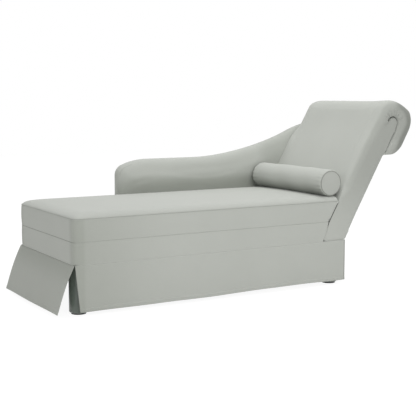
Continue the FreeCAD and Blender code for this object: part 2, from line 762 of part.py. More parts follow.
def arm_pieces():
    """Panel, posts, outer board, pads and cloth of the arm."""
    inner = arm_face + cloth + fit_gap + arm_inner_foam + fit_gap
    back = inner + arm_board
    outer = arm_outer - cloth - 2 * fit_gap - arm_outer_foam - arm_outer_board
    form = arm_form(cloth + fit_gap)
    floor_cut = block(0, 2 * base_length, 0, 2 * base_depth, 0, rail_floor_height)
    form = form.cut(floor_cut)
    core_zone = arm_core(arm_rim_foam + fit_gap, arm_face - overrun, arm_outer + overrun)
    panel_outline = arm_rim_foam + 2 * fit_gap
    made = {
        "arm_roll": form.cut(arm_core(arm_rim_foam, arm_face - overrun, arm_outer + overrun)),
        "arm_inner_pad": form.common(core_zone).common(
            block(0, 2 * base_length, arm_face, inner - fit_gap, 0, base_length)),
        "arm_outer_pad": form.common(core_zone).common(
            block(0, 2 * base_length, outer + arm_outer_board + fit_gap, arm_outer, 0, base_length)),
        "arm_panel": arm_core(panel_outline, inner, back).cut(floor_cut),
        "arm_outer_board": arm_core(panel_outline, outer, outer + arm_outer_board).cut(floor_cut),
    }
    struts = []
    space = arm_core(panel_outline, back, outer).cut(floor_cut)
    for share in arm_strut_shares:
        x = arm_front + (heel_reach - arm_front) * share
        struts.append(space.common(block(x, x + arm_strut_width, back, outer, 0, base_length)))
    made["arm_struts"] = Part.Compound(struts)
    shell = arm_form(0).cut(arm_form(cloth))
    rear = shell.common(arm_core(arm_rim_foam, arm_outer - cloth, arm_outer))
    made["arm_outer_cover"] = rear
    made["arm_cover"] = shell.cut(arm_core(arm_rim_foam, arm_outer - cloth, arm_outer))
    soft_bore = arm_bores(arm_bolt_radius + fit_gap)
    for name in ("arm_inner_pad", "arm_cover"):
        made[name] = made[name].cut(soft_bore)
    made["arm_panel"] = made["arm_panel"].cut(arm_bores(arm_bolt_radius + bore_gap))
    bolts, nuts = [], []
    start = base_depth - rail_face - rail_thickness
    along = Vector(0, 1, 0)
    for x, z in arm_bolt_places():
        tail = Vector(x, start - arm_nut_height, z)
        shank = rod(arm_bolt_radius, tail, along, back - tail.y)
        head = rod(arm_bolt_head_radius, Vector(x, back, z), along, arm_bolt_head_height)
        bolts.append(shank.fuse(head).removeSplitter())
        nut = rod(arm_nut_radius, tail, along, arm_nut_height)
        nuts.append(nut.cut(rod(arm_bolt_radius + bore_gap, tail, along, arm_nut_height)))
    made["arm_bolts"], made["arm_nuts"] = Part.Compound(bolts), Part.Compound(nuts)
    return made


# Skirt


def hanging_panel(run0, run1, hem0, hem1, fold, place):
    """A cloth panel from a straight top edge to a hem in shallow folds.

    run0 and run1 are its top corners along the side, hem0 and hem1 the lower ones, and place turns
    (along, inward, height) into a point.
    """
    count = max(1, round((hem1 - hem0) / fold_length))
    tops, hems = [], []
    for side in (0, skirt_thickness):
        for step in range(count):
            a, b = step / count, (step + 1) / count
            t0, t1 = run0 + (run1 - run0) * a, run0 + (run1 - run0) * b
            h0, h1 = hem0 + (hem1 - hem0) * a, hem0 + (hem1 - hem0) * b
            bulge = fold / 2 + fold / 2 * (-1) ** step
            top = Part.LineSegment(place(t0, side, skirt_top), place(t1, side, skirt_top))
            if fold > 0:
                hem = Part.Arc(place(h0, side + fold / 2, skirt_hem_height),
                               place((h0 + h1) / 2, side + bulge, skirt_hem_height),
                               place(h1, side + fold / 2, skirt_hem_height))
            else:
                hem = Part.LineSegment(place(h0, side, skirt_hem_height),
                                       place(h1, side, skirt_hem_height))
            tops.append(top.toShape())
            hems.append(hem.toShape())
    wires = []
    for edges, level in ((tops, skirt_top), (hems, skirt_hem_height)):
        first, second = edges[:count], edges[count:]
        ends = []
        for a, b in ((first[-1].Vertexes[-1], second[-1].Vertexes[-1]),
                     (second[0].Vertexes[0], first[0].Vertexes[0])):
            ends.append(Part.LineSegment(a.Point, b.Point).toShape())
        wires.append(Part.Wire(first + [ends[0]] + second[::-1] + [ends[1]]))
    return Part.makeLoft(wires, True, True)


def skirts():
    """Four panels that part at the corners; the foot panel is shown swung out."""
    start, stop = skirt_thickness + skirt_corner_gap, base_length - skirt_thickness - skirt_corner_gap
    front = hanging_panel(start, stop, start + front_skirt_sweep, stop, fold_depth,
                          lambda a, i, z: Vector(a, i, z))
    arm_side = hanging_panel(start, stop, start, stop, fold_depth,
                             lambda a, i, z: Vector(a, base_depth - i, z))
    foot = hanging_panel(0, base_depth, 0, base_depth, 0, lambda a, i, z: Vector(i, a, z))
    head = hanging_panel(0, base_depth, 0, base_depth, 0, lambda a, i, z: Vector(base_length - i, a, z))
    foot.rotate(Vector(skirt_thickness / 2, 0, skirt_hinge_height), Vector(0, 1, 0), foot_skirt_swing)
    return {"front_skirt": front, "arm_side_skirt": arm_side, "foot_skirt": foot, "head_skirt": head}


# Bolster


def bolster_point(y, out):
    """A point of the bolster's lengthwise section, out from its axis."""
    return Vector(bolster_reach, y, bolster_height + out)


def bolster_section(corners):
    """A closed face of the section through corners given as (depth, distance from the axis)."""
    points = [bolster_point(y, out) for y, out in corners]
    return Part.Face(Part.makePolygon(points + points[:1]))


def bolster_outline(inset):
    """Half the bolster's lengthwise section: straight side, eased rims and slightly domed ends."""
    near = bolster_front_gap + inset
    far = bolster_front_gap + bolster_length - inset
    radius = bolster_radius - inset
    ease = bolster_end_round - inset / 2
    rim = radius - ease
    bend = ease * math.sin(math.pi / 4)
    turn = bolster_dome + ease
    half = [(0, 0), (bolster_dome, rim), (turn - bend, rim + bend), (turn, radius)]
    corners = [(near + y, out) for y, out in half] + [(far - y, out) for y, out in half[::-1]]
    return bolster_section(corners)


def spun(section):
    """A section of the bolster turned round its axis."""
    return section.revolve(bolster_point(0, 0), Vector(0, 1, 0), 360)


def bolster_pieces():
    """Core, tube cover, end discs and zip of the bolster."""
    shell = bolster_outline(0).cut(bolster_outline(cloth))
    near, far = bolster_front_gap, bolster_front_gap + bolster_length
    seam = bolster_radius - bolster_end_round - fit_gap
    depth = bolster_dome + cloth
    ends, tube = [], shell
    for start, stop in ((near - overrun, near + depth), (far - depth, far + overrun)):
        zones = []
        for out in (seam, seam + fit_gap):
            zones.append(bolster_section([(start, -overrun), (start, out), (stop, out),
                                          (stop, -overrun)]))
        ends.append(spun(shell.common(zones[0])))
        tube = tube.cut(zones[1])
    tube = spun(tube)
    middle = near + bolster_length / 2

    def slot(width, length):
        first = Vector(bolster_reach, middle - length / 2, bolster_height) - slope * (width / 2)
        corners = [first, first + slope * width, first + slope * width + rearward * 2 * bolster_radius,
                   first + rearward * 2 * bolster_radius]
        face = Part.Face(Part.makePolygon(corners + [first]))
        return face.extrude(Vector(0, length, 0))

    zip_strip = tube.common(slot(zip_width, zip_length))
    tube = tube.cut(slot(zip_width + 2 * fit_gap, zip_length + 2 * fit_gap))
    return {"bolster_core": spun(bolster_outline(cloth + fit_gap)), "bolster_cover": tube,
            "bolster_end_front": ends[0], "bolster_end_arm": ends[1], "bolster_zip": zip_strip}


# Assembly

pieces = {}


def build():
    """Every piece, by the name of its node."""
    pieces.update(base_rails())
    pieces["leg_blocks"] = leg_blocks()
    pieces.update(legs())
    pieces["leg_glides"], pieces["leg_bolts"], pieces["leg_nuts"] = leg_hardware()
    pieces["dust_cover"] = dust_cover()
    pieces["seat_webbing"] = seat_webbing()
    pieces["seat_lining"] = seat_lining()
    pieces["seat_foam"] = seat_foam()
    pieces["seat_cover"] = seat_cover()
    names = ("front_wadding", "arm_side_wadding", "foot_wadding")
    for name, shape in zip(names, wadding_panels()):
        pieces[name] = shape
    pieces["base_cover"] = base_cover()
    pieces.update(back_frame())
    pieces["back_webbing"], pieces["back_board"] = back_skins()
    names = ("back_pad", "scroll_pad", "side_pad_front", "side_pad_arm")
    for name, shape in zip(names, back_pads()):
        pieces[name] = shape
    names = ("back_cover", "side_panel_front", "side_panel_arm", "rear_cover")
    for name, shape in zip(names, back_covers()):
        pieces[name] = shape
    pieces["back_bolts"], pieces["back_nuts"] = back_hardware()
    pieces.update(arm_pieces())
    pieces.update(skirts())
    pieces.update(bolster_pieces())
    for name in ("arm_side_wadding", "base_cover"):
        pieces[name] = pieces[name].cut(arm_bores(arm_bolt_radius + fit_gap))


build()
os.makedirs("parts", exist_ok=True)
for name, shape in pieces.items():
    shape = shape.copy()
    shape.translate(origin_shift)
    shape.exportStep("parts/%s.step" % name)
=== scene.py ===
import math
import bmesh
import bpy
import numpy as np
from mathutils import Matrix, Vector, noise


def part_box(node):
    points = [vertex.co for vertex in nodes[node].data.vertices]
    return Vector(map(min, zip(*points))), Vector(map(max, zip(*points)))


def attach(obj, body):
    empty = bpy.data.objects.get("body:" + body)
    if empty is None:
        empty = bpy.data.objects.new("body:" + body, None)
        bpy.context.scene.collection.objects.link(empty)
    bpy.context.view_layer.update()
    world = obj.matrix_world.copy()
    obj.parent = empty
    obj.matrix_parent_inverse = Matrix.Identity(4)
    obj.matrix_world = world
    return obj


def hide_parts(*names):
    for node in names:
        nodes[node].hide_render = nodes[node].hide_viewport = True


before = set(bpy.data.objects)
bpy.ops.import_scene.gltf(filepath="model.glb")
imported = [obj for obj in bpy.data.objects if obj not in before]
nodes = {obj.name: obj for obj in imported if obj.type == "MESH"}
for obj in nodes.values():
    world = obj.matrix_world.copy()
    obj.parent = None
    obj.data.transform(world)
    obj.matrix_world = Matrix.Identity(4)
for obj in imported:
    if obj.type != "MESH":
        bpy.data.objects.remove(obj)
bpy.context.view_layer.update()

# Chaise longue. Metres, measured from the foot face of the base, its open front side and the floor;
# each piece is moved to the frame's own origin when it is finished.
FOOT_X, FRONT_Y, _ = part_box("seat_cover")[0]

# Base and seat
BASE_LENGTH = 1.316
BASE_DEPTH = 0.612
LOW_SEAM = 0.2033
MID_SEAM = 0.291
TOP_SEAM = 0.3815
PLAN_ROUND = 0.022
SHOULDER_RISE = 0.0190
CROWN_RISE = 0.0075
BOXING_SWELL = 0.0022
BAND_SWELL = 0.0016
BAND_WALL = 0.009
OPEN_GAP = 0.0042

# Back
LEAN = math.radians(30.4)
HEEL_X = 1.3155
BACK_THICKNESS = 0.121
SCROLL_REACH = 0.094
SCROLL_FLOOR = 0.580
BAND_END_LOW = 1.191
ROLL_CENTRE = (0.0135, 0.609)
JOIN_GAP = 0.0006
SOFT_EDGE = 0.034
REAR_EDGE = 0.009
CREST_EDGE = 0.046
FAR_CREST_EDGE = 0.060
ARM_SIDE_EDGE = 0.010
CREST_SAG = 0.0036
LOW_EDGE = 0.002

# Arm
ARM_FACE = 0.6123
ARM_THICKNESS = 0.066
ARM_FRONT = 0.472
ARM_TOP = 0.557
ARM_NOSE = 0.521
ARM_RISE_START = 1.181
ARM_SHOULDER = 1.495
ARM_ROUND = 0.0315
ARM_FILL = 0.015

# Skirt
SKIRT_TOP = 0.2024
SKIRT_HEM = 0.0190
SKIRT_CLOTH = 0.0020
SKIRT_END_GAP = 0.0038
HEM_DEPTH = 0.0125
HEM_STEP = 0.0007
FLAP_REACH = 0.0735
FLAP_DROP = 0.1852
FLAP_SKEW = 0.0030
FRONT_SWEEP = 0.019

# Bolster
BOLSTER_RADIUS = 0.060
BOLSTER_LENGTH = 0.566
BOLSTER_NEAR = 0.018
BOLSTER_FAR = BOLSTER_NEAR + BOLSTER_LENGTH
BOLSTER_X = 1.248
BOLSTER_Z = 0.4612

# Making
VOXEL = 0.0080
SEAT_VOXEL = 0.0090
CLOTH_STEPS = 20
SHARP_EDGE = math.radians(60)
PANEL_ROWS = 34
STITCH_PITCH = 0.0052
FINE_SEAM = 0.0009
STOUT_SEAM = 0.0014
FOLD_RADIUS = 0.0012
DUST_CLOTH = 0.0006
DUST_SAG = 0.006
AIR = 0.52
NOISE_SEED = 7

noise.seed_set(NOISE_SEED)


# Places


def lean_point(forward, rise):
    """A point of the back as (x, z), forward of its rear face and up its slope from the heel."""
    return (HEEL_X + math.sin(LEAN) * rise - math.cos(LEAN) * forward,
            LOW_SEAM + math.cos(LEAN) * rise + math.sin(LEAN) * forward)


def from_heel(x, z):
    """How far forward of the back's rear face and how far up its slope points or terms lie."""
    ahead, above = x - HEEL_X, z - LOW_SEAM
    return (above * math.sin(LEAN) - ahead * math.cos(LEAN), ahead * math.sin(LEAN) + above * math.cos(LEAN))


def rise_at(forward, height):
    """How far up the slope a line forward of the rear face meets a height."""
    return (height - LOW_SEAM - forward * math.sin(LEAN)) / math.cos(LEAN)


def front_plane_x(height):
    """Where the back's front plane stands at a height."""
    return lean_point(BACK_THICKNESS, rise_at(BACK_THICKNESS, height))[0]


def band_end_x(height):
    """Where the base's band meets the back's lower end."""
    share = (height - LOW_SEAM) / (MID_SEAM - LOW_SEAM)
    return BAND_END_LOW + (front_plane_x(MID_SEAM) - BAND_END_LOW) * share


def ease(value, start, stop):
    """Runs smoothly from 0 at start to 1 at stop."""
    share = np.clip((value - start) / (stop - start), 0, 1)
    return share * share * (3 - 2 * share)


# Mesh helpers


def read_points(mesh):
    flat = np.empty(len(mesh.vertices) * 3)
    mesh.vertices.foreach_get("co", flat)
    return flat.reshape(-1, 3)


def write_points(mesh, points):
    mesh.vertices.foreach_set("co", points.ravel())
    mesh.update()


def rounded_outline(corners):
    """Points of an outline whose corners, given as (a, b, round), are rounded by a vertex bevel."""
    bm = bmesh.new()
    verts = [bm.verts.new((a, b, 0)) for a, b, _ in corners]
    bm.faces.new(verts)
    count = len(corners)
    for i, vert in enumerate(verts):
        radius = corners[i][2]
        if radius <= 0:
            continue
        here = Vector(corners[i][:2])
        back = (Vector(corners[i - 1][:2]) - here).normalized()
        ahead = (Vector(corners[(i + 1) % count][:2]) - here).normalized()
        half = back.angle(ahead) / 2
        bmesh.ops.bevel(bm, geom=[vert], offset=radius / math.tan(half), offset_type="OFFSET",
                        segments=26, profile=0.5, affect="VERTICES", material=-1)
    bm.faces.ensure_lookup_table()
    outline = [(v.co.x, v.co.y) for v in bm.faces[0].verts]
    bm.free()
    return outline


def side_prism(outline, y0, y1):
    """A solid from an outline in x and z, carried across the depth."""
    bm = bmesh.new()
    face = bm.faces.new([bm.verts.new((x, y0, z)) for x, z in outline])
    made = bmesh.ops.extrude_face_region(bm, geom=[face])
    moved = [item for item in made["geom"] if isinstance(item, bmesh.types.BMVert)]
    bmesh.ops.translate(bm, verts=moved, vec=(0, y1 - y0, 0))
    bmesh.ops.recalc_face_normals(bm, faces=bm.faces)
    return bm


def add_object(name, data):
    made = bpy.data.objects.new(name, data)
    bpy.context.scene.collection.objects.link(made)
    return made


def to_object(name, bm):
    mesh = bpy.data.meshes.new(name)
    bm.to_mesh(mesh)
    bm.free()
    return add_object(name, mesh)


def final_mesh(made):
    """A piece's mesh as its modifiers or its curve settings make it."""
    graph = bpy.context.evaluated_depsgraph_get()
    return bpy.data.meshes.new_from_object(made.evaluated_get(graph))


def apply_modifiers(made):
    """Keeps a piece's shape with its modifiers and drops them."""
    mesh, old = final_mesh(made), made.data
    made.modifiers.clear()
    made.data = mesh
    bpy.data.meshes.remove(old)


def remesh(made, voxel):
    """An even net of small faces all over a solid."""
    change = made.modifiers.new("even net", "REMESH")
    change.mode = "VOXEL"
    change.voxel_size = voxel
    apply_modifiers(made)


def sheet_object(name, columns, rows, thickness, outward, place):
    """A thin piece: its outer face lies where place puts each share across and up, the rest inside it."""
    bm = bmesh.new()
    bmesh.ops.create_grid(bm, x_segments=columns, y_segments=rows, size=0.5)
    for vert in bm.verts:
        vert.co = place(vert.co.x + 0.5, vert.co.y + 0.5)
    made = to_object(name, bm)
    if made.data.polygons[0].normal.dot(Vector(outward)) < 0:
        made.data.flip_normals()
    wall = made.modifiers.new("cloth", "SOLIDIFY")
    wall.thickness = thickness
    wall.offset = -1
    apply_modifiers(made)
    return made


def cut_corners(points, rounds):
    """An open path with its corners cut smooth."""
    for _ in range(rounds):
        cut = [points[0]]
        for (a, b), (c, d) in zip(points, points[1:]):
            cut += [(a * 0.75 + c * 0.25, b * 0.75 + d * 0.25), (a * 0.25 + c * 0.75, b * 0.25 + d * 0.75)]
        points = cut + [points[-1]]
    return points


def winding(points):
    """1 for a closed outline that runs counter-clockwise, else -1."""
    area = sum(a * d - c * b for (a, b), (c, d) in zip(points, points[1:] + points[:1]))
    return 1 if area > 0 else -1


def path_distance(a, b, path, closed=False):
    """Of points beside a path: how far off, the nearest point and its normal, the run to it, the side.

    A closed path's normals point inward."""
    turn = winding(path)
    best = np.full(len(a), np.inf)
    near, normal = np.zeros((len(a), 2)), np.zeros((len(a), 2))
    reach, side = np.zeros(len(a)), np.zeros(len(a))
    run = 0
    for (x0, z0), (x1, z1) in zip(path, path[1:] + path[:1] if closed else path[1:]):
        length = math.hypot(x1 - x0, z1 - z0)
        if length < 1e-7:
            continue
        dx, dz = (x1 - x0) / length, (z1 - z0) / length
        along = np.clip((a - x0) * dx + (b - z0) * dz, 0, length)
        px, pz = x0 + dx * along, z0 + dz * along
        away = np.hypot(a - px, b - pz)
        hit = away < best
        best[hit] = away[hit]
        near[hit, 0], near[hit, 1] = px[hit], pz[hit]
        normal[hit, 0], normal[hit, 1] = -dz * turn, dx * turn
        reach[hit] = run + along[hit]
        side[hit] = ((a - x0) * dz - (b - z0) * dx)[hit]
        run += length
    return best, near, normal, reach, side


def round_sides(points, outline, y0, y1, rounds):
    """Lays surface points on the outline's prism with its side edges rounded."""
    away, near, normal, _, _ = path_distance(points[:, 0], points[:, 2], outline, closed=True)
    low_side, high_side = points[:, 1] - y0, y1 - points[:, 1]
    side = np.minimum(low_side, high_side)
    edge = (away < rounds) & (side < rounds)
    reach = np.hypot(rounds - away, rounds - side)
    scale = rounds / np.maximum(reach, 1e-9)
    new_away = np.where(edge, rounds - (rounds - away) * scale, np.where(side < away, away, 0))
    new_side = np.where(edge, rounds - (rounds - side) * scale, np.where(side < away, 0, side))
    sharp = (rounds < 0.004) & (away < 0.006) & (side < 0.006)
    new_away[sharp] = new_side[sharp] = 0
    points[:, 0] = near[:, 0] + normal[:, 0] * new_away
    points[:, 2] = near[:, 1] + normal[:, 1] * new_away
    points[:, 1] = np.where(low_side < high_side, y0 + new_side, y1 - new_side)
    return new_away, new_side


def refine(made, mask, cuts):
    """Divides the faces whose points the mask picks."""
    bm = bmesh.new()
    bm.from_mesh(made.data)
    bm.verts.ensure_lookup_table()
    edges = [e for e in bm.edges if mask[e.verts[0].index] and mask[e.verts[1].index]]
    bmesh.ops.subdivide_edges(bm, edges=edges, cuts=cuts, use_grid_fill=True)
    bm.to_mesh(made.data)
    bm.free()


def smooth(made):
    bm = bmesh.new()
    bm.from_mesh(made.data)
    for _ in range(2):
        bmesh.ops.smooth_vert(bm, verts=bm.verts, factor=0.5, use_axis_x=True, use_axis_y=True,
                              use_axis_z=True)
    bm.to_mesh(made.data)
    bm.free()


def puff(made, held, cap):
    """Swells a padded piece between its held seams with a short run of cloth."""
    before = read_points(made.data)
    group = made.vertex_groups.new(name="held seams")
    group.add([int(i) for i in np.nonzero(held)[0]], 1.0, "REPLACE")
    change = made.modifiers.new("filling", "CLOTH")
    setting = change.settings
    setting.quality = 3
    setting.mass = 0.3
    setting.tension_stiffness = 30
    setting.compression_stiffness = 30
    setting.shear_stiffness = 15
    setting.bending_stiffness = 2
    setting.use_pressure = True
    setting.uniform_pressure_force = 1.2
    setting.effector_weights.gravity = 0
    setting.vertex_group_mass = group.name
    change.collision_settings.use_collision = False
    scene = bpy.context.scene
    change.point_cache.frame_start = 1
    change.point_cache.frame_end = CLOTH_STEPS
    for step in range(1, CLOTH_STEPS + 1):
        scene.frame_set(step)
    graph = bpy.context.evaluated_depsgraph_get()
    after = read_points(made.evaluated_get(graph).data)
    made.modifiers.remove(change)
    scene.frame_set(1)
    shift = after - before
    length = np.linalg.norm(shift, axis=1)
    shift *= (np.minimum(length, cap) / np.maximum(length, 1e-9))[:, None]
    write_points(made.data, before + shift)
    made.vertex_groups.clear()


def finish_piece(made, material, body="root", uneven=0):
    """Moves a piece to the frame's origin, gives it its finish and lets it ride on its body."""
    points = read_points(made.data)
    if uneven:
        for i, point in enumerate(points):
            points[i] = point + np.array(noise.noise_vector(Vector(point) * 6)) * uneven
    points += (FOOT_X, FRONT_Y, 0)
    write_points(made.data, points)
    made.data.polygons.foreach_set("use_smooth", [True] * len(made.data.polygons))
    made.data.materials.clear()
    made.data.materials.append(material)
    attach(made, body)


def ridge(name, path, radius, material, body="root", closed=False):
    """A thin raised seam along a path of points."""
    curve = bpy.data.curves.new(name, "CURVE")
    curve.dimensions = "3D"
    curve.bevel_depth = radius
    curve.bevel_resolution = 2
    curve.use_fill_caps = True
    spline = curve.splines.new("POLY")
    spline.points.add(len(path) - 1)
    for target, point in zip(spline.points, path):
        target.co = (*point, 1)
    spline.use_cyclic_u = closed
    carrier = add_object(name + "_line", curve)
    mesh = final_mesh(carrier)
    bpy.data.objects.remove(carrier)
    bpy.data.curves.remove(curve)
    mesh.name = name
    finish_piece(add_object(name, mesh), material, body)


# Materials


def link(source, target):
    """Joins an output or a term to an input."""
    target.id_data.links.new(source.socket if isinstance(source, Term) else source, target)


class Term:
    """A value in a shader's nodes. Sums, products and ramps of terms add their own nodes."""

    def __init__(self, socket):
        self.socket = socket

    def do(self, kind, *others):
        node = self.socket.id_data.nodes.new("ShaderNodeMath")
        node.operation = kind
        for socket, value in zip(node.inputs, (self, *others)):
            if isinstance(value, Term):
                link(value, socket)
            else:
                socket.default_value = value
        return Term(node.outputs[0])

    def __add__(self, other):
        return self.do("ADD", other)

    def __sub__(self, other):
        return self.do("SUBTRACT", other)

    def __mul__(self, other):
        return self.do("MULTIPLY", other)

    def __abs__(self):
        return self.do("ABSOLUTE")

    def ramp(self, start, stop):
        """Runs smoothly from 0 at start to 1 at stop."""
        node = self.socket.id_data.nodes.new("ShaderNodeMapRange")
        node.interpolation_type = "SMOOTHSTEP"
        node.inputs["From Min"].default_value = min(start, stop)
        node.inputs["From Max"].default_value = max(start, stop)
        node.inputs["To Min"].default_value = float(start > stop)
        node.inputs["To Max"].default_value = float(start < stop)
        link(self, node.inputs["Value"])
        return Term(node.outputs["Result"])


def length_of(a, b):
    return (a * a + b * b).do("SQRT")


def place_and_facing(tree):
    """The point and the direction it faces, each as three terms."""
    where = tree.nodes.new("ShaderNodeTexCoord")
    found = []
    for kind in ("Object", "Normal"):
        parts = tree.nodes.new("ShaderNodeSeparateXYZ")
        link(where.outputs[kind], parts.inputs[0])
        found.append([Term(out) for out in parts.outputs])
    return found


def new_group(name, given, outputs):
    group = bpy.data.node_groups.new(name, "ShaderNodeTree")
    group.interface.new_socket(name=given, in_out="INPUT", socket_type="NodeSocketFloat")
    for label in outputs:
        group.interface.new_socket(name=label, in_out="OUTPUT", socket_type="NodeSocketFloat")
    return group, group.nodes.new("NodeGroupInput"), group.nodes.new("NodeGroupOutput")


def noise_term(vector, scale, detail, roughness=0.5):
    node = vector.id_data.nodes.new("ShaderNodeTexNoise")
    node.inputs["Scale"].default_value = scale
    node.inputs["Detail"].default_value = detail
    node.inputs["Roughness"].default_value = roughness
    link(vector, node.inputs["Vector"])
    return Term(node.outputs["Fac"])


def thread_group():
    """Warp and weft of a plain weave, laid on whichever plane the surface faces."""
    group, given, result = new_group("plain weave", "Threads per metre", ["Height", "Tone"])
    (x, y, z), facing = place_and_facing(group)
    nx, ny, nz = [abs(part) for part in facing]

    def largest(a, b, c):
        return a.do("GREATER_THAN", b) * a.do("GREATER_THAN", c)

    u = largest(nx, ny, nz) * (y - x) + x
    v = largest(nz, ny, nx) * (y - z) + z
    count = Term(given.outputs[0])
    turn = count * math.pi
    weave = (u * turn).do("SINE") * (v * turn).do("SINE") * 0.5 + 0.5
    slubs = []
    for along, across in ((u, v), (v, u)):
        joined = group.nodes.new("ShaderNodeCombineXYZ")
        link(along * 34.0, joined.inputs[0])
        link(across * count, joined.inputs[1])
        slubs.append(noise_term(joined.outputs[0], 1.0, 2.0))
    slub = (slubs[0] + slubs[1]) * 0.5
    link(slub * 0.6 + weave * 0.4, result.inputs["Height"])
    link(slub, result.inputs["Tone"])
    return group


def drift_group():
    """Slow changes over a surface: tone, fine creases and rubbing."""
    group, given, result = new_group("slow drift", "Scale", ["Tone", "Crease", "Rub"])
    spot = group.nodes.new("ShaderNodeTexCoord").outputs["Object"]
    tone = noise_term(spot, 1.0, 3.0, 0.55)
    link(given.outputs[0], tone.socket.node.inputs["Scale"])
    link(tone, result.inputs["Tone"])
    link(noise_term(spot, 11.0, 2.0, 0.45), result.inputs["Crease"])
    link(noise_term(spot, 90.0, 3.0, 0.6), result.inputs["Rub"])
    return group


def grain_group():
    """Long wood grain along the piece's length."""
    group, given, result = new_group("wood grain", "Scale", ["Grain"])
    stretch = group.nodes.new("ShaderNodeMapping")
    stretch.inputs["Scale"].default_value = (2.5, 38.0, 38.0)
    link(group.nodes.new("ShaderNodeTexCoord").outputs["Object"], stretch.inputs["Vector"])
    grain = noise_term(stretch.outputs[0], 1.0, 6.0, 0.6)
    link(given.outputs[0], grain.socket.node.inputs["Scale"])
    link(grain, result.inputs["Grain"])
    return group


weave_nodes, drift_nodes, grain_nodes = thread_group(), drift_group(), grain_group()


def use_group(tree, group, value):
    """Adds a group with its one input set; gives its outputs as terms by name."""
    node = tree.nodes.new("ShaderNodeGroup")
    node.node_tree = group
    node.inputs[0].default_value = value
    return {out.name: Term(out) for out in node.outputs}


def start_material(name, roughness, metallic=0.0):
    made = bpy.data.materials.new(name)
    made.use_nodes = True
    tree = made.node_tree
    shader = tree.nodes["Principled BSDF"]
    shader.inputs["Roughness"].default_value = roughness
    shader.inputs["Metallic"].default_value = metallic
    return made, tree, shader


def set_colour(shader, mask, first, second, kind="MIX"):
    """Runs the base colour from the first, a colour or a socket, to the second by a mask."""
    mix = shader.id_data.nodes.new("ShaderNodeMix")
    mix.data_type = "RGBA"
    mix.blend_type = kind
    link(mask, mix.inputs["Factor"])
    if isinstance(first, tuple):
        mix.inputs[6].default_value = (*first, 1)
    else:
        link(first, mix.inputs[6])
    mix.inputs[7].default_value = (*second, 1)
    link(mix.outputs[2], shader.inputs["Base Color"])


def add_bump(shader, height, distance):
    bump = shader.id_data.nodes.new("ShaderNodeBump")
    bump.inputs["Distance"].default_value = distance
    bump.inputs["Strength"].default_value = 1.0
    link(height, bump.inputs["Height"])
    link(bump.outputs["Normal"], shader.inputs["Normal"])


def painted_shade_group(name, build):
    """A mask of painted shade by place, 0 to 1."""
    group, _, result = new_group(name, "Amount", ["Depth"])
    link(build(*place_and_facing(group)), result.inputs["Depth"])
    return group


def off_middle(y):
    """Distance from the upright plane through the base's middle."""
    return abs(y - (FRONT_Y + BASE_DEPTH / 2))


def back_painted_shade_mask(place, facing):
    """Painted shade: darker up the back's two sides and a little at its top, darkest on the scroll's outer
    rim.
    """
    x, y, z = place
    turned = abs(facing[1])
    crook = length_of(x - (FOOT_X + 1.590), z - 0.606).ramp(0.02, 0.06) * 0.24 + 0.20
    side = z.ramp(0.22, 0.56) * turned.ramp(0.25, 0.9) * crook
    top = z.ramp(0.64, 0.78) * turned.ramp(0.6, 0.2) * 0.13
    forward, rise = from_heel(x - FOOT_X, z)
    over = (rise - ROLL_CENTRE[1]).do("MAXIMUM", 0.0)
    lobe = length_of(forward - ROLL_CENTRE[0], over).ramp(0.040, 0.080) * forward.ramp(0.070, 0.010)
    at_end = off_middle(y).ramp(BASE_DEPTH / 2 - 0.060, BASE_DEPTH / 2 - 0.020)
    lobe = lobe * at_end * z.ramp(0.56, 0.62)
    return (lobe * 0.90 + (top + side)).do("MINIMUM", 1.0)


def arm_painted_shade_mask(place, facing):
    """Painted shade: darker where the arm meets the seat, and a little on its rise to the back."""
    low = place[2].ramp(0.490, 0.405) * facing[1].ramp(0.0, -0.6)
    return place[0].ramp(FOOT_X + 1.22, FOOT_X + 1.30) * 0.40 + low


def bolster_painted_shade_mask(place, facing):
    """Painted shade: darker round the bolster's underside, and a little on its ends."""
    tube = abs(facing[1]).ramp(0.7, 0.4)
    return tube * facing[2].ramp(0.08, -0.80) + (tube * -0.10 + 0.10)


def corner_painted_shade_mask(place, facing):
    """Painted shade: darker round the base's two upright foot corners, and a little along the front near
    them.
    """
    x, y, z = place
    away = length_of(x - (FOOT_X + 0.012), off_middle(y) - (BASE_DEPTH / 2 - 0.012))
    along = x.ramp(FOOT_X + 0.46, FOOT_X - 0.12) * facing[1].ramp(-0.3, -0.9)
    both = (along * 0.80 + away.ramp(0.045, 0.010) * 0.75).do("MINIMUM", 1.0)
    return both * z.ramp(0.383, 0.374)


def flap_painted_shade_mask(place, facing):
    """Painted shade: darker toward the top of the swung-out panel, half as dark lower down."""
    return place[2].ramp(0.10, 0.20) * 0.5 + 0.5


def seam_painted_shade_mask(place, facing):
    """Painted shade: darker where a seam faces the foot end."""
    return facing[0].ramp(-0.4, -0.8)


def paint_shade(made, name, build, share):
    """A copy of a cloth with shade painted into its colour by a mask."""
    copy = made.copy()
    copy.name = name
    shader = copy.node_tree.nodes["Principled BSDF"]
    old = shader.inputs["Base Color"].links[0].from_socket
    depth = use_group(copy.node_tree, painted_shade_group(name, build), 1.0)["Depth"]
    # painted shade: the colour is multiplied toward a darker share where the mask is high
    set_colour(shader, depth, old, (share, share * 1.01, share * 0.985), "MULTIPLY")
    return copy


def cloth_material(name, dark, light, threads=1100.0, sheen=0.16, thread_depth=0.00012, crease_depth=0.0):
    """A woven cloth: thread tone, slow drift of colour, soft creases, a matt sheen."""
    made, tree, shader = start_material(name, 0.88)
    weave = use_group(tree, weave_nodes, threads)
    drift = use_group(tree, drift_nodes, 4.0)
    set_colour(shader, weave["Tone"] * 0.55 + drift["Tone"] * 0.45, dark, light)
    link(drift["Rub"] * 0.12 + 0.82, shader.inputs["Roughness"])
    add_bump(shader, weave["Height"] * thread_depth + drift["Crease"] * crease_depth, 1.0)
    shader.inputs["Sheen Weight"].default_value = sheen
    shader.inputs["Sheen Roughness"].default_value = 0.45
    shader.inputs["Specular IOR Level"].default_value = 0.25
    return made


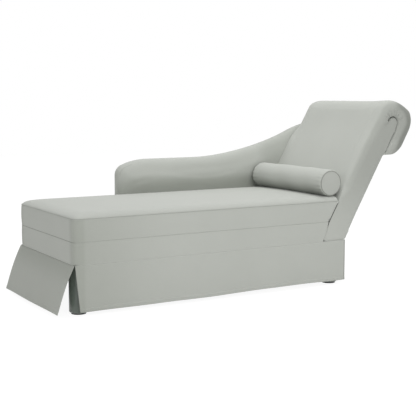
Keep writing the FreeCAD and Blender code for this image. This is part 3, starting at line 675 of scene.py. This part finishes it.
def plain_material(name, dark, light, roughness, bump, metallic=0.0, scale=12.0):
    """A moulded, plated or lacquered surface with fine unevenness and rubbing."""
    made, tree, shader = start_material(name, roughness, metallic)
    drift = use_group(tree, drift_nodes, scale)
    set_colour(shader, drift["Tone"], dark, light)
    link(drift["Rub"] * 0.18 + (roughness - 0.09), shader.inputs["Roughness"])
    add_bump(shader, drift["Rub"], bump)
    return made


def wood_material(name, dark, light, roughness):
    made, tree, shader = start_material(name, roughness)
    grain = use_group(tree, grain_nodes, 1.0)["Grain"]
    set_colour(shader, grain, dark, light)
    add_bump(shader, grain, 0.0004)
    return made


sage_cloth = cloth_material("sage close weave", (0.462, 0.478, 0.443), (0.550, 0.566, 0.529),
                            crease_depth=0.0011)
# painted shade: the back's sides, top and scroll rim darkened in colour
back_painted_shade_cloth = paint_shade(sage_cloth, "back cloth with painted shade", back_painted_shade_mask, 0.56)
# painted shade: the arm darkened by the seat and toward the back
arm_painted_shade_cloth = paint_shade(sage_cloth, "arm cloth with painted shade", arm_painted_shade_mask, 0.75)
# painted shade: the bolster darkened underneath and at its ends
bolster_painted_shade_cloth = paint_shade(sage_cloth, "bolster cloth with painted shade", bolster_painted_shade_mask, 0.50)
# painted shade: the base darkened round its foot corners and along the front near them
base_painted_shade_cloth = paint_shade(sage_cloth, "base cloth with painted shade", corner_painted_shade_mask, 0.80)
# painted shade: the foot flap darkened, most toward its top
flap_painted_shade_cloth = paint_shade(sage_cloth, "flap cloth with painted shade", flap_painted_shade_mask, 0.80)
sage_thread = plain_material("sage sewing thread", (0.43, 0.45, 0.41), (0.50, 0.52, 0.48), 0.7, 0.0001)
# painted shade: a darker sage for the seam ridges, standing for the shade along the seams
seam_sage_painted_shade = cloth_material("sage seam with painted shade", (0.37, 0.386, 0.353), (0.46, 0.476, 0.44))
# painted shade: the seams darkened further where they face the foot end
foot_facing_shade_seam = paint_shade(seam_sage_painted_shade, "seam with painted shade at the foot", seam_painted_shade_mask, 0.50)
# painted shade: the bolster's end seams in a much darker sage
bolster_seam_painted_shade = cloth_material("bolster seam with painted shade", (0.24, 0.25, 0.23), (0.31, 0.32, 0.295), sheen=0.10)
# painted shade: near-black tubes put in the gaps and creases where there is only shade
painted_shade_fold = cloth_material("painted shade fold", (0.040, 0.043, 0.038), (0.060, 0.064, 0.056), sheen=0.0)
black_cloth = cloth_material("black lining", (0.018, 0.018, 0.019), (0.032, 0.032, 0.034), 500.0, 0.05,
                             0.0002, 0.0008)
webbing_cloth = cloth_material("jute webbing", (0.30, 0.22, 0.12), (0.42, 0.33, 0.20), 420.0, 0.1, 0.0004)
pine = wood_material("planed pine", (0.50, 0.35, 0.20), (0.68, 0.52, 0.33), 0.6)
board = plain_material("pressed board", (0.30, 0.21, 0.12), (0.42, 0.31, 0.19), 0.85, 0.0004, scale=40.0)
leg_lacquer = plain_material("grey-green leg lacquer", (0.142, 0.173, 0.147), (0.182, 0.218, 0.188),
                             0.34, 0.00015)
leg_lacquer.node_tree.nodes["Principled BSDF"].inputs["Coat Weight"].default_value = 0.25
black_plastic = plain_material("black glide", (0.010, 0.010, 0.010), (0.022, 0.022, 0.022), 0.5, 0.0002)
zinc = plain_material("zinc plate", (0.46, 0.47, 0.48), (0.60, 0.61, 0.62), 0.38, 0.0001, metallic=1.0)
zip_plastic = plain_material("sage zip", (0.33, 0.36, 0.32), (0.40, 0.43, 0.39), 0.5, 0.0001)

kept = {
    pine: ["front_rail", "arm_side_rail", "foot_rail", "head_rail", "foot_cross_rail", "head_cross_rail",
           "leg_blocks", "back_post_front", "back_post_arm", "back_bottom_rail", "back_middle_rail",
           "back_top_rail", "arm_panel", "arm_struts"],
    leg_lacquer: ["leg_foot_front", "leg_foot_arm", "leg_head_front", "leg_head_arm"],
    black_plastic: ["leg_glides"],
    zinc: ["leg_bolts", "leg_nuts", "back_bolts", "back_nuts", "arm_bolts", "arm_nuts"],
    board: ["back_board", "arm_outer_board"],
    webbing_cloth: ["seat_webbing", "back_webbing"],
    black_cloth: ["seat_lining"],
}
for material, names in kept.items():
    for name in names:
        for slot in nodes[name].material_slots:
            slot.material = material


# Seat


def plan_inset(x, y):
    """Distance inward from the base's plan outline, its foot corners rounded."""
    across = np.minimum(y, BASE_DEPTH - y)
    corner = (x < PLAN_ROUND) & (across < PLAN_ROUND)
    rounded = PLAN_ROUND - np.hypot(PLAN_ROUND - x, PLAN_ROUND - across)
    return np.where(corner, rounded, np.minimum(x, across))


def open_gap(y, z):
    """How far the seat and band stand off the back at the open side, widest half way up."""
    level = np.clip((z - LOW_SEAM) / (TOP_SEAM - LOW_SEAM), 0, 1)
    inward = np.exp(-(np.maximum(y, 0) / 0.06) ** 2)
    return OPEN_GAP * inward * ease(level, 0.20, 0.45) * (1 - ease(level, 0.90, 1.0))


def make_seat():
    """The crowned seat with its boxing, from the middle seam up."""
    top_end, low_end = front_plane_x(TOP_SEAM) - JOIN_GAP, front_plane_x(MID_SEAM) - JOIN_GAP
    outline = [(0, MID_SEAM), (low_end, MID_SEAM), (top_end, TOP_SEAM), (0, TOP_SEAM)]
    bm = side_prism(outline, 0, BASE_DEPTH)
    corners = [e for e in bm.edges if all(v.co.x < 1e-6 for v in e.verts)
               and abs(e.verts[0].co.z - e.verts[1].co.z) > 1e-3]
    bmesh.ops.bevel(bm, geom=corners, offset=PLAN_ROUND, offset_type="OFFSET", segments=7, profile=0.5,
                    affect="EDGES", material=-1)
    made = to_object("seat_cushion", bm)
    remesh(made, SEAT_VOXEL)
    x, y, z = read_points(made.data).T
    refine(made, (z > TOP_SEAM - 0.02) & (plan_inset(x, y) < 0.035), 1)
    points = read_points(made.data)
    x, y, z = points.T
    inset = plan_inset(x, y)
    edge_on = np.abs(inset)
    end = (z - MID_SEAM) / (TOP_SEAM - MID_SEAM) * (top_end - low_end) + low_end - x
    below = TOP_SEAM - z
    is_end = end < np.minimum(edge_on, np.abs(below)) - 1e-4
    is_end |= (end < 0.006) & (edge_on < 0.006) & (z > MID_SEAM + 0.003) & (below > 0.003)
    is_top = ~is_end & (below < edge_on) & (below < 0.02)
    wall = ~is_end & ~is_top & (z >= MID_SEAM + 0.003) & (inset < 0.004)
    level = np.maximum(inset, 0)
    shoulder = 0.0105 + 0.010 * (1 - ease(x, 0.01, 0.10))
    rise = SHOULDER_RISE * (1 - np.exp(-level / shoulder)) + CROWN_RISE * (1 - np.exp(-level / 0.12))
    z[is_top] = TOP_SEAM + rise[is_top]
    beside = np.clip(np.abs(x - BOLSTER_X) / BOLSTER_RADIUS, 0, 1)
    under = BOLSTER_Z - BOLSTER_RADIUS * np.sqrt(1 - beside ** 2) - 0.0008
    along = ease(y, BOLSTER_NEAR - 0.015, BOLSTER_NEAR) * (1 - ease(y, BOLSTER_FAR, BOLSTER_FAR + 0.015))
    hollow = is_top & (z > under)
    z[hollow] += ((under - z) * along)[hollow]
    foot_ring = wall & (z < MID_SEAM + 0.0095)
    z[foot_ring] = MID_SEAM + 0.0002
    x[is_end] += end[is_end]
    edge = is_end & (edge_on < 0.006)
    y[edge] = np.where(y[edge] < BASE_DEPTH / 2, 0, BASE_DEPTH)
    swell = BOXING_SWELL * np.sin(np.pi * np.clip((z - MID_SEAM) / (TOP_SEAM - MID_SEAM), 0, 1))
    across = np.minimum(y, BASE_DEPTH - y)
    corner = wall & (x < PLAN_ROUND) & (across < PLAN_ROUND)
    side = np.where(y < BASE_DEPTH / 2, -1.0, 1.0)
    flat_side = wall & ~corner & (across < x)
    flat_foot = wall & ~corner & (x <= across)
    y[flat_side] = (np.where(side < 0, 0, BASE_DEPTH) + side * swell)[flat_side]
    x[flat_foot] = -swell[flat_foot]
    middle = np.where(side < 0, PLAN_ROUND, BASE_DEPTH - PLAN_ROUND)
    rx, ry = x - PLAN_ROUND, y - middle
    scale = (PLAN_ROUND + swell) / np.maximum(np.hypot(rx, ry), 1e-9)
    x[corner] = (PLAN_ROUND + rx * scale)[corner]
    y[corner] = (middle + ry * scale)[corner]
    x -= open_gap(y, z) * ease(x, low_end - 0.06, low_end - 0.01)
    write_points(made.data, points)
    z = read_points(made.data)[:, 2]
    seam = (np.abs(z - TOP_SEAM) < 0.004) & (inset < 0.006)
    puff(made, seam | (z < MID_SEAM + 0.004) | is_end, 0.0016)
    made.data.set_sharp_from_angle(angle=SHARP_EDGE)
    finish_piece(made, base_painted_shade_cloth)
    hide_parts("seat_cover", "seat_foam")


# Band and seams round the base


def u_path(share, x_end, out):
    """A point (x, y) on the way from the head end along the front, round the foot and back again."""
    straight, arc = x_end - PLAN_ROUND, PLAN_ROUND * math.pi / 2
    half = straight + arc + BASE_DEPTH / 2 - PLAN_ROUND
    run = share * 2 * half
    far = run > half
    run = min(run, 2 * half - run)
    if run < straight:
        x, y = x_end - run, -out
    elif run < straight + arc:
        turn, reach = (run - straight) / PLAN_ROUND, PLAN_ROUND + out
        x, y = PLAN_ROUND - math.sin(turn) * reach, PLAN_ROUND - math.cos(turn) * reach
    else:
        x, y = -out, PLAN_ROUND + run - straight - arc
    return (x, BASE_DEPTH - y if far else y)


def make_band():
    """The padded band under the seat, from the low seam to the middle seam."""

    def place(share, level):
        z = LOW_SEAM + (MID_SEAM - LOW_SEAM) * level
        out = BAND_SWELL * math.sin(math.pi * level) ** 0.7
        x_end = band_end_x(z) - JOIN_GAP - float(open_gap(np.array(0 if share < 0.5 else 1), z))
        fold = math.exp(-((MID_SEAM - 0.0125 - z) / 0.0022) ** 2)
        x, y = u_path(share, x_end, out)
        fade = max(0, 1 - x / 0.45) if y < BASE_DEPTH / 2 else 0
        return (*u_path(share, x_end, out + 0.0012 * fold * fade), z)

    made = sheet_object("base_band", 520, 24, BAND_WALL, (0, -1, 0), place)
    made.data.set_sharp_from_angle(angle=SHARP_EDGE)
    finish_piece(made, base_painted_shade_cloth)
    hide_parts("base_cover", "front_wadding", "arm_side_wadding", "foot_wadding")


def seam_line(name, z, x_end, radius, out, material=seam_sage_painted_shade):
    """A raised seam right round the base at a height."""
    path = []
    for i in range(261):
        x, y = u_path(i / 260, x_end, out)
        path.append((x, y, z + 0.0005 * noise.noise(Vector((x * 9, y * 9, z * 50)))))
    ridge(name, path, radius, material)


def make_end_fold():
    """A near-black tube in the open side's gap between seat and back: a fold of cloth whose dark colour is
    painted shade.
    """
    path = []
    for i in range(31):
        z = 0.376 - 0.104 * i / 30
        end = front_plane_x(z) if z > MID_SEAM else band_end_x(z)
        path.append((end - 0.0016, 0.0010, z))
    ridge("end_painted_shade_fold", path, FOLD_RADIUS, painted_shade_fold)


# Back


CREASE = [(1.561, 0.738), (1.572, 0.749), (1.592, 0.756), (1.608, 0.750), (1.617, 0.736),
          (1.6175, 0.723), (1.605, 0.686), (1.585, 0.655), (1.559, 0.611), (1.549, 0.591)]
CURL = (1.590, 0.735)
ROLL = [(90, 0.1075), (45, 0.1011), (17, 0.0922), (0, 0.0918), (-20, 0.1032), (-45, 0.1078),
        (-70, 0.1082), (-90, 0.1075)]


def roll_line():
    """The scroll's top as (x, z) points: lines touching the roll, met and cut smooth."""
    lines = [(math.sin(math.radians(turn)), math.cos(math.radians(turn)), reach) for turn, reach in ROLL]
    points = [(ROLL[0][1], -0.020)]
    for (a, b, reach), (c, d, other) in zip(lines, lines[1:]):
        area = a * d - b * c
        points.append(((reach * d - b * other) / area, (a * other - c * reach) / area))
    points.append((-ROLL[-1][1], -0.030))
    return [lean_point(ROLL_CENTRE[0] + forward, ROLL_CENTRE[1] + rise)
            for forward, rise in cut_corners(points, 4)]


def back_outline():
    crook = rise_at(0, SCROLL_FLOOR)
    tail = rise_at(-SCROLL_REACH, SCROLL_FLOOR)
    corners = [
        (band_end_x(LOW_SEAM) + JOIN_GAP, LOW_SEAM, 0.002),
        (band_end_x(MID_SEAM) + JOIN_GAP, MID_SEAM, 0.06),
        *[(x, z, 0) for x, z in roll_line()],
        (*lean_point(-SCROLL_REACH, tail), 0.075),
        (*lean_point(0, crook), 0.008),
        (HEEL_X, LOW_SEAM, 0.002),
    ]
    return rounded_outline(corners)


def make_back():
    """The leaning back with its rolled scroll."""
    outline = back_outline()
    made = to_object("back_cushion", side_prism(outline, 0, BASE_DEPTH))
    remesh(made, VOXEL)
    smooth(made)
    points = read_points(made.data)
    x, y, z = points.T
    forward, rise = from_heel(x, z)
    blend = ease(forward, BACK_THICKNESS * 0.35, BACK_THICKNESS * 0.65)
    rear_edge = LOW_EDGE + (REAR_EDGE - LOW_EDGE) * ease(z, 0.21, 0.30)
    front_edge = LOW_EDGE + (SOFT_EDGE - LOW_EDGE) * ease(z, 0.375, 0.45)
    rounds = rear_edge * (1 - blend) + front_edge * blend
    by_arm = y > BASE_DEPTH / 2
    rounds += (np.where(by_arm, FAR_CREST_EDGE, CREST_EDGE) - rounds) * ease(rise, 0.43, 0.51)
    tucked = ARM_SIDE_EDGE + (rounds - ARM_SIDE_EDGE) * ease(z, 0.62, 0.72)
    rounds = np.where(by_arm, np.minimum(rounds, tucked), rounds)
    away, side = round_sides(points, outline, 0, BASE_DEPTH, rounds)
    z -= CREST_SAG * ease(y, 0.05, 0.16) * ease(rise, 0.60, 0.69)
    write_points(made.data, points)
    smooth(made)
    low = read_points(made.data)[:, 2] < LOW_SEAM + 0.01
    puff(made, low | ((side < 0.002) & (away > 0.02)), 0.0016)
    x, y, z = read_points(made.data).T
    dist = path_distance(x, z, CREASE)[0]
    curl = np.hypot(x - CURL[0], z - CURL[1])
    on_side = np.minimum(y, BASE_DEPTH - y) < 0.03
    refine(made, on_side & ((dist < 0.020) | (curl < 0.06)), 2)
    shape_scroll_side(made)
    finish_piece(made, back_painted_shade_cloth, uneven=0.0004)
    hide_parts("back_cover", "back_pad", "scroll_pad", "side_pad_front", "side_pad_arm",
                "side_panel_front", "side_panel_arm", "rear_cover")


def make_scroll_folds():
    """A near-black tube deep in each end's crease: a fold of cloth whose dark colour is painted shade."""
    for name, y in (("scroll_front_painted_shade_fold", 0.0100), ("scroll_arm_painted_shade_fold", BASE_DEPTH - 0.0100)):
        ridge(name, [(x, y, z) for x, z in cut_corners(CREASE, 3)], FOLD_RADIUS, painted_shade_fold)


def shape_scroll_side(made):
    """Draws the crease, the curl and its pleats into both ends of the scroll."""
    points = read_points(made.data)
    x, y, z = points.T
    dist, _, _, run, side_of = path_distance(x, z, CREASE)
    depth_in = np.minimum(y, BASE_DEPTH - y)
    out = np.where(y < BASE_DEPTH / 2, -1.0, 1.0)
    face = 1 - ease(depth_in, 0.012, 0.034)
    groove = 0.0165 * np.exp(-(dist / 0.0032) ** 2) * (1 - 0.35 * ease(run, 0.12, 0.22))
    curl_start = 0.016 * np.exp(-((run - 0.006) / 0.014) ** 2) * np.exp(-(dist / 0.0045) ** 2)
    angle = np.arctan2(z - CURL[1], x - CURL[0])
    reach = np.hypot(x - CURL[0], z - CURL[1])
    above = ease(angle, -0.1, 0.35) * (1 - ease(angle, 2.5, 3.0))
    ring = ease(reach, 0.020, 0.028) * (1 - ease(reach, 0.040, 0.070))
    pleats = 0.0027 * np.sin(angle * 15 + 1.3 * np.sin(angle * 5)) * ring * above
    outside = (side_of < 0) & (z > 0.60)
    near_crease = np.where(outside, 1 - ease(dist, 0.022, 0.060), 0.0)
    swell = 0.003 * (1 - np.exp(-dist / 0.012)) * near_crease * ease(z, 0.60, 0.64)
    sunk = -0.002 * (1 - ease(dist, 0.004, 0.04)) * np.where(outside, 0.0, 1.0) * ease(z, 0.58, 0.62)
    y += out * face * (swell + sunk + pleats - groove - curl_start)
    forward, rise = from_heel(x, z)
    on_front = ease(forward, BACK_THICKNESS - 0.03, BACK_THICKNESS - 0.004)
    zone = ease(rise, 0.30, 0.42) * (1 - ease(rise, 0.60, 0.68)) * np.exp(-((depth_in - 0.05) / 0.03) ** 2)
    pull = 0.0016 * np.sin((depth_in + 0.05 * rise) * 190) * zone * on_front
    x -= pull * math.cos(LEAN)
    z += pull * math.sin(LEAN)
    write_points(made.data, points)


# Arm


def arm_outline():
    rise = math.tan(math.radians(25))
    slack = math.tan(math.radians(10))
    brow_x = ARM_FRONT + (ARM_TOP - ARM_NOSE) / math.tan(math.radians(20))
    shoulder_z = ARM_TOP + (ARM_SHOULDER - ARM_RISE_START) * rise
    lean_run = math.tan(LEAN)
    reach = (HEEL_X + (shoulder_z - LOW_SEAM) * lean_run - ARM_SHOULDER) / (1 - slack * lean_run)
    corners = [(ARM_FRONT, LOW_SEAM, 0), (ARM_FRONT, ARM_NOSE, 0.050), (brow_x, ARM_TOP, 0.310),
               (ARM_RISE_START, ARM_TOP, 1.290), (ARM_SHOULDER, shoulder_z, 0.480),
               (ARM_SHOULDER + reach, shoulder_z + reach * slack, 0.0285), (HEEL_X, LOW_SEAM, 0)]
    return rounded_outline(corners)


def inset_path(outline, inset, y):
    """Points a little inside an outline, at a depth."""
    inset *= winding(outline)
    made = []
    for (ax, az), (bx, bz), (cx, cz) in zip(outline[-1:] + outline[:-1], outline, outline[1:] + outline[:1]):
        tx, tz = cx - ax, cz - az
        length = math.hypot(tx, tz)
        made.append((bx - tz / length * inset, y, bz + tx / length * inset))
    return made


def make_arm():
    """The low arm that sweeps up to the back."""
    outline = arm_outline()
    y0, y1 = ARM_FACE, ARM_FACE + ARM_THICKNESS
    made = to_object("arm_cushion", side_prism(outline, y0, y1))
    remesh(made, VOXEL)
    smooth(made)
    points = read_points(made.data)
    _, y, z = points.T
    rounds = LOW_EDGE + (ARM_ROUND - LOW_EDGE) * ease(z, 0.205, 0.235)
    away, side = round_sides(points, outline, y0, y1, rounds)
    body = ease(away, 0.0, 0.085) * ease(z, 0.402, 0.475)
    y -= np.where(y < (y0 + y1) / 2, ARM_FILL * body * (1 - side / ARM_ROUND).clip(0, 1), 0)
    write_points(made.data, points)
    smooth(made)
    low = read_points(made.data)[:, 2] < LOW_SEAM + 0.01
    puff(made, low | ((side < 0.001) & (away < 0.035)), 0.0014)
    finish_piece(made, arm_painted_shade_cloth, uneven=0.0005)
    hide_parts("arm_cover", "arm_roll", "arm_inner_pad", "arm_outer_pad", "arm_outer_cover")
    inset = 0.0125
    depth = ARM_ROUND - math.sqrt(ARM_ROUND ** 2 - (ARM_ROUND - inset) ** 2)
    inner = [point for point in inset_path(outline, inset, y0 + depth)
             if point[2] > 0.36 and point[0] < ARM_FRONT + 0.075]
    outer = [point for point in inset_path(outline, inset, y1 - depth) if point[2] > 0.215]
    ridge("arm_inner_seam", inner, FINE_SEAM, seam_sage_painted_shade)
    ridge("arm_outer_seam", outer, FINE_SEAM, seam_sage_painted_shade)


# Skirt


def hem_levels():
    """Row shares from the top edge to the hem, closer together in the hem."""
    hem = HEM_DEPTH / (SKIRT_TOP - SKIRT_HEM)
    upper = [i / (PANEL_ROWS - 6) * (1 - hem) for i in range(PANEL_ROWS - 5)]
    return upper + [1 - hem + hem * share for share in (0.08, 0.25, 0.45, 0.65, 0.85, 1.0)]


def make_panel(name, length_count, place, outward, material=sage_cloth):
    """A hanging cloth panel with a folded hem and its row of stitches."""
    levels = hem_levels()
    hem_start = 1 - HEM_DEPTH / (SKIRT_TOP - SKIRT_HEM) + 1e-6

    def outer_face(share, up):
        level = levels[min(PANEL_ROWS, max(0, round(up * PANEL_ROWS)))]
        return place(share, level, HEM_STEP if level > hem_start else 0.0)

    made = sheet_object(name + "_panel", length_count, PANEL_ROWS, SKIRT_CLOTH, outward, outer_face)
    finish_piece(made, material, name)
    seam = 1 - (HEM_DEPTH - 0.0022) / (SKIRT_TOP - SKIRT_HEM)
    start, stop = Vector(place(0.004, seam, 0)), Vector(place(0.996, seam, 0))
    count = int((stop - start).length / STITCH_PITCH)
    lift = HEM_STEP + 0.0001
    bm = bmesh.new()
    for i in range(count):
        share = 0.004 + 0.992 * (i + 0.5) / count
        here = Vector(place(share, seam, lift))
        along = (Vector(place(share + 0.001, seam, lift)) - here).normalized()
        out = (Vector(place(share, seam, 0.002)) - Vector(place(share, seam, 0))).normalized()
        up = along.cross(out)
        for vert in bmesh.ops.create_icosphere(bm, subdivisions=1, radius=1.0)["verts"]:
            a, b, c = vert.co
            vert.co = here + along * a * 0.0017 + out * b * 0.00032 + up * c * 0.00038
    stitches = to_object(name + "_stitches", bm)
    finish_piece(stitches, sage_thread, name)
    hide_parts(name)


def hem_wave(run, level):
    """How far a long panel stands in from its plane: soft folds that grow toward the hem."""
    wave = 0.5 - 0.5 * math.cos(run * 2 * math.pi / 0.31 + 0.7 * math.sin(run * 3.1))
    return 0.0034 * wave * level ** 1.4


def make_skirts():
    drop = SKIRT_TOP - SKIRT_HEM
    start, stop = SKIRT_END_GAP, BASE_LENGTH - SKIRT_END_GAP

    def front(share, level, out):
        low = start + FRONT_SWEEP * level
        x = low + (stop - low) * share
        sag = 0.0018 * ease(x, 0.75, 0.90) * (1 - ease(x, 1.10, 1.25))
        sag -= 0.0032 * (1 - ease(x, 0.60, 0.85))
        return (x, hem_wave(x, level) - out, SKIRT_TOP - drop * level + float(sag) * level)

    def arm_side(share, level, out):
        x = start + (stop - start) * share
        return (x, BASE_DEPTH - hem_wave(x + 0.1, level) + out, SKIRT_TOP - drop * level)

    def head(share, level, out):
        y = BASE_DEPTH * share
        wave = 0.0012 * (1 - math.cos(y * 2 * math.pi / 0.306)) * level
        return (BASE_LENGTH - wave * 0.5 + out, y, SKIRT_TOP - drop * level)

    def foot(share, level, out):
        y = BASE_DEPTH * share
        flare = 0.80 * level + 0.20 * (1 - (1 - level) ** 3.0)
        fold = 0.0016 * math.sin(y * 13 + 0.8) * level ** 1.5
        return (-FLAP_REACH * flare + fold - out * 0.93, y,
                SKIRT_TOP - (FLAP_DROP + FLAP_SKEW * share) * level - out * 0.37)

    make_panel("front_skirt", 330, front, (0, -1, 0), base_painted_shade_cloth)
    make_panel("arm_side_skirt", 330, arm_side, (0, 1, 0))
    make_panel("head_skirt", 150, head, (1, 0, 0))
    make_panel("foot_skirt", 150, foot, (-1, 0, 0), flap_painted_shade_cloth)


# Bolster


def make_bolster():
    """The round bolster with slightly domed ends and puckers at its end seams."""
    half = [(0, 0.0), (0.0010, 0.025), (0.0032, 0.048), (0.0042, 0.0530), (0.0062, 0.0566),
            (0.0098, 0.0589), (0.0150, 0.0600), (0.030, 0.0602)]
    line = half + [(BOLSTER_LENGTH - y, r) for y, r in reversed(half)]
    bm = bmesh.new()
    verts = [bm.verts.new((BOLSTER_X, BOLSTER_NEAR + y, BOLSTER_Z + r)) for y, r in line]
    edges = [bm.edges.new(pair) for pair in zip(verts, verts[1:])]
    longest = max(edges, key=lambda e: e.calc_length())
    bmesh.ops.subdivide_edges(bm, edges=[longest], cuts=70)
    for cap in (edges[0], edges[1], edges[-1], edges[-2]):
        bmesh.ops.subdivide_edges(bm, edges=[cap], cuts=4)
    bmesh.ops.spin(bm, geom=bm.verts[:] + bm.edges[:], cent=(BOLSTER_X, 0, BOLSTER_Z), axis=(0, 1, 0),
                   dvec=(0, 0, 0), angle=2 * math.pi, steps=112, use_merge=True)
    bmesh.ops.remove_doubles(bm, verts=bm.verts, dist=1e-5)
    bmesh.ops.recalc_face_normals(bm, faces=bm.faces)
    made = to_object("bolster_body", bm)
    x, y, z = read_points(made.data).T
    rx, rz = x - BOLSTER_X, z - BOLSTER_Z
    radius, angle = np.hypot(rx, rz), np.arctan2(rz, rx)
    end = np.minimum(y - BOLSTER_NEAR, BOLSTER_FAR - y)
    tube = ease(radius, 0.050, 0.058)
    near_end = np.exp(-np.maximum(end - 0.010, 0) / 0.022)
    puckers = 0.0007 * np.sin(angle * 24 + 2 * np.sin(angle * 3)) * near_end
    barrel = 0.0012 * np.sin(np.pi * np.clip(end / (BOLSTER_LENGTH / 2), 0, 1) / 2)
    drape = 0.0009 * np.sin(y * 31 + angle * 2.0) * ease(end, 0.03, 0.12)
    scale = (radius + (puckers + barrel + drape) * tube) / np.maximum(radius, 1e-9)
    x, z = BOLSTER_X + rx * scale, BOLSTER_Z + rz * scale
    rest = BOLSTER_Z - BOLSTER_RADIUS + 0.0012
    z = np.where(z < rest, rest + (z - rest) * 0.25, z)
    write_points(made.data, np.stack([x, y, z], axis=1))
    finish_piece(made, bolster_painted_shade_cloth, "bolster")
    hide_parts("bolster_cover", "bolster_core", "bolster_end_front", "bolster_end_arm")
    turns = [2 * math.pi * i / 96 for i in range(96)]
    ring = [(BOLSTER_X + math.cos(turn) * 0.0545, BOLSTER_Z + math.sin(turn) * 0.0545) for turn in turns]
    for side, y in (("front", BOLSTER_NEAR + 0.0046), ("arm", BOLSTER_FAR - 0.0046)):
        path = [(x, y, z) for x, z in ring]
        ridge("bolster_%s_seam" % side, path, 0.0017, bolster_seam_painted_shade, "bolster", closed=True)


def make_zip():
    """The bolster's zip: two tapes and a row of teeth on its hidden lower side."""
    bm = bmesh.new()
    out = Vector((math.cos(LEAN), 0, -math.sin(LEAN)))
    up = Vector((math.sin(LEAN), 0, math.cos(LEAN)))
    centre = Vector((BOLSTER_X, BOLSTER_NEAR + BOLSTER_LENGTH / 2, BOLSTER_Z))
    length, teeth = 0.420, 130

    def chunk(middle, half_up, half_y, half_out):
        for vert in bmesh.ops.create_cube(bm, size=2.0)["verts"]:
            co = vert.co.copy()
            vert.co = middle + up * co.x * half_up + Vector((0, co.y * half_y, 0)) + out * co.z * half_out

    for side in (-1, 1):
        chunk(centre + out * (BOLSTER_RADIUS + 0.0010) + up * side * 0.0026, 0.0019, length / 2, 0.0004)
    for i in range(teeth):
        y = (i + 0.5) / teeth * length - length / 2
        side = 0.0004 if i % 2 else -0.0004
        chunk(centre + out * (BOLSTER_RADIUS + 0.0016) + up * side + Vector((0, y, 0)),
              0.0011, 0.0011, 0.0006)
    made = to_object("bolster_zip_teeth", bm)
    finish_piece(made, zip_plastic, "bolster")
    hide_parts("bolster_zip")


def make_dust_cover():
    """The thin black cloth stretched under the frame, sagging a little between its staples."""
    low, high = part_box("dust_cover")

    def place(a, b):
        inside = 0 < a < 1 and 0 < b < 1
        sag = DUST_SAG * math.sin(math.pi * a) ** 0.5 * math.sin(math.pi * b) ** 0.5 if inside else 0
        return (low.x - FOOT_X + (high.x - low.x) * a, low.y - FRONT_Y + (high.y - low.y) * b,
                high.z - 0.0002 - sag)

    made = sheet_object("dust_cloth", 90, 44, DUST_CLOTH, (0, 0, -1), place)
    finish_piece(made, black_cloth)
    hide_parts("dust_cover")


make_seat()
make_band()
make_end_fold()
seam_line("top_seam", TOP_SEAM, front_plane_x(TOP_SEAM) - 0.010, STOUT_SEAM, 0.0003)
seam_line("middle_seam", MID_SEAM, front_plane_x(MID_SEAM) - 0.010, FINE_SEAM, 0.0001, foot_facing_shade_seam)
seam_line("low_seam", LOW_SEAM - 0.0004, HEEL_X - 0.001, 0.0010, -0.0009, sage_cloth)
ridge("rear_low_seam", [(BASE_LENGTH - 0.0045, BASE_DEPTH * (0.004 + 0.992 * i / 60), LOW_SEAM - 0.0012)
                        for i in range(61)], STOUT_SEAM, sage_cloth)
make_back()
make_scroll_folds()
make_arm()
make_skirts()
make_bolster()
make_zip()
make_dust_cover()


# Studio


def seen_straight(tree):
    """1 where the camera or a gloss looks, else 0."""
    seen = tree.nodes.new("ShaderNodeLightPath")
    return Term(seen.outputs["Is Camera Ray"]).do("MAXIMUM", Term(seen.outputs["Is Glossy Ray"]))


def make_floor():
    bm = bmesh.new()
    bmesh.ops.create_grid(bm, x_segments=1, y_segments=1, size=9.0)
    made = to_object("studio_floor", bm)
    material = bpy.data.materials.new("pale floor")
    material.use_nodes = True
    tree = material.node_tree
    tree.nodes.clear()
    output = tree.nodes.new("ShaderNodeOutputMaterial")
    matt = tree.nodes.new("ShaderNodeBsdfDiffuse")
    matt.inputs["Color"].default_value = (0.86, 0.86, 0.85, 1)
    glow = tree.nodes.new("ShaderNodeEmission")
    glow.inputs["Strength"].default_value = 1.135
    both = tree.nodes.new("ShaderNodeMixShader")
    link(seen_straight(tree) * 0.82, both.inputs[0])
    link(matt.outputs[0], both.inputs[1])
    link(glow.outputs[0], both.inputs[2])
    link(both.outputs[0], output.inputs["Surface"])
    made.data.materials.append(material)


def make_world():
    world = bpy.data.worlds.new("white studio")
    bpy.context.scene.world = world
    world.use_nodes = True
    tree = world.node_tree
    tree.nodes.clear()
    output = tree.nodes.new("ShaderNodeOutputWorld")
    air = tree.nodes.new("ShaderNodeBackground")
    air.inputs["Color"].default_value = (1, 1, 1, 1)
    link(seen_straight(tree) * (1.0 - AIR) + AIR, air.inputs["Strength"])
    link(air.outputs[0], output.inputs["Surface"])


def make_lamp(name, place, size, power, aim=(0.1, 0, 0.3)):
    lamp = bpy.data.lights.new(name, "AREA")
    lamp.shape = "DISK"
    lamp.size = size
    lamp.energy = power
    made = add_object(name, lamp)
    made.location = place
    made.rotation_euler = (Vector(aim) - Vector(place)).to_track_quat("-Z", "Y").to_euler()


def make_camera():
    data = bpy.data.cameras.new("camera")
    data.sensor_width = 36
    data.lens = 80.53
    made = add_object("camera", data)
    made.location = (FOOT_X - 1.3314, FRONT_Y - 3.2964, 0.8488)
    made.rotation_euler = (math.radians(90 - 6.839), 0, -math.radians(30.3))
    bpy.context.scene.camera = made


make_floor()
make_world()
make_lamp("soft_top", (0.4, -0.2, 2.9), 2.0, 27)
make_lamp("soft_front", (-0.4, -3.4, 1.6), 2.0, 30)
make_lamp("soft_left", (-2.8, -0.4, 1.2), 1.6, 4.5, aim=(0, 0, 0.3))
make_lamp("soft_rear", (0.2, 1.9, 2.4), 2.0, 11)
make_camera()
bpy.context.scene.view_settings.view_transform = "Standard"
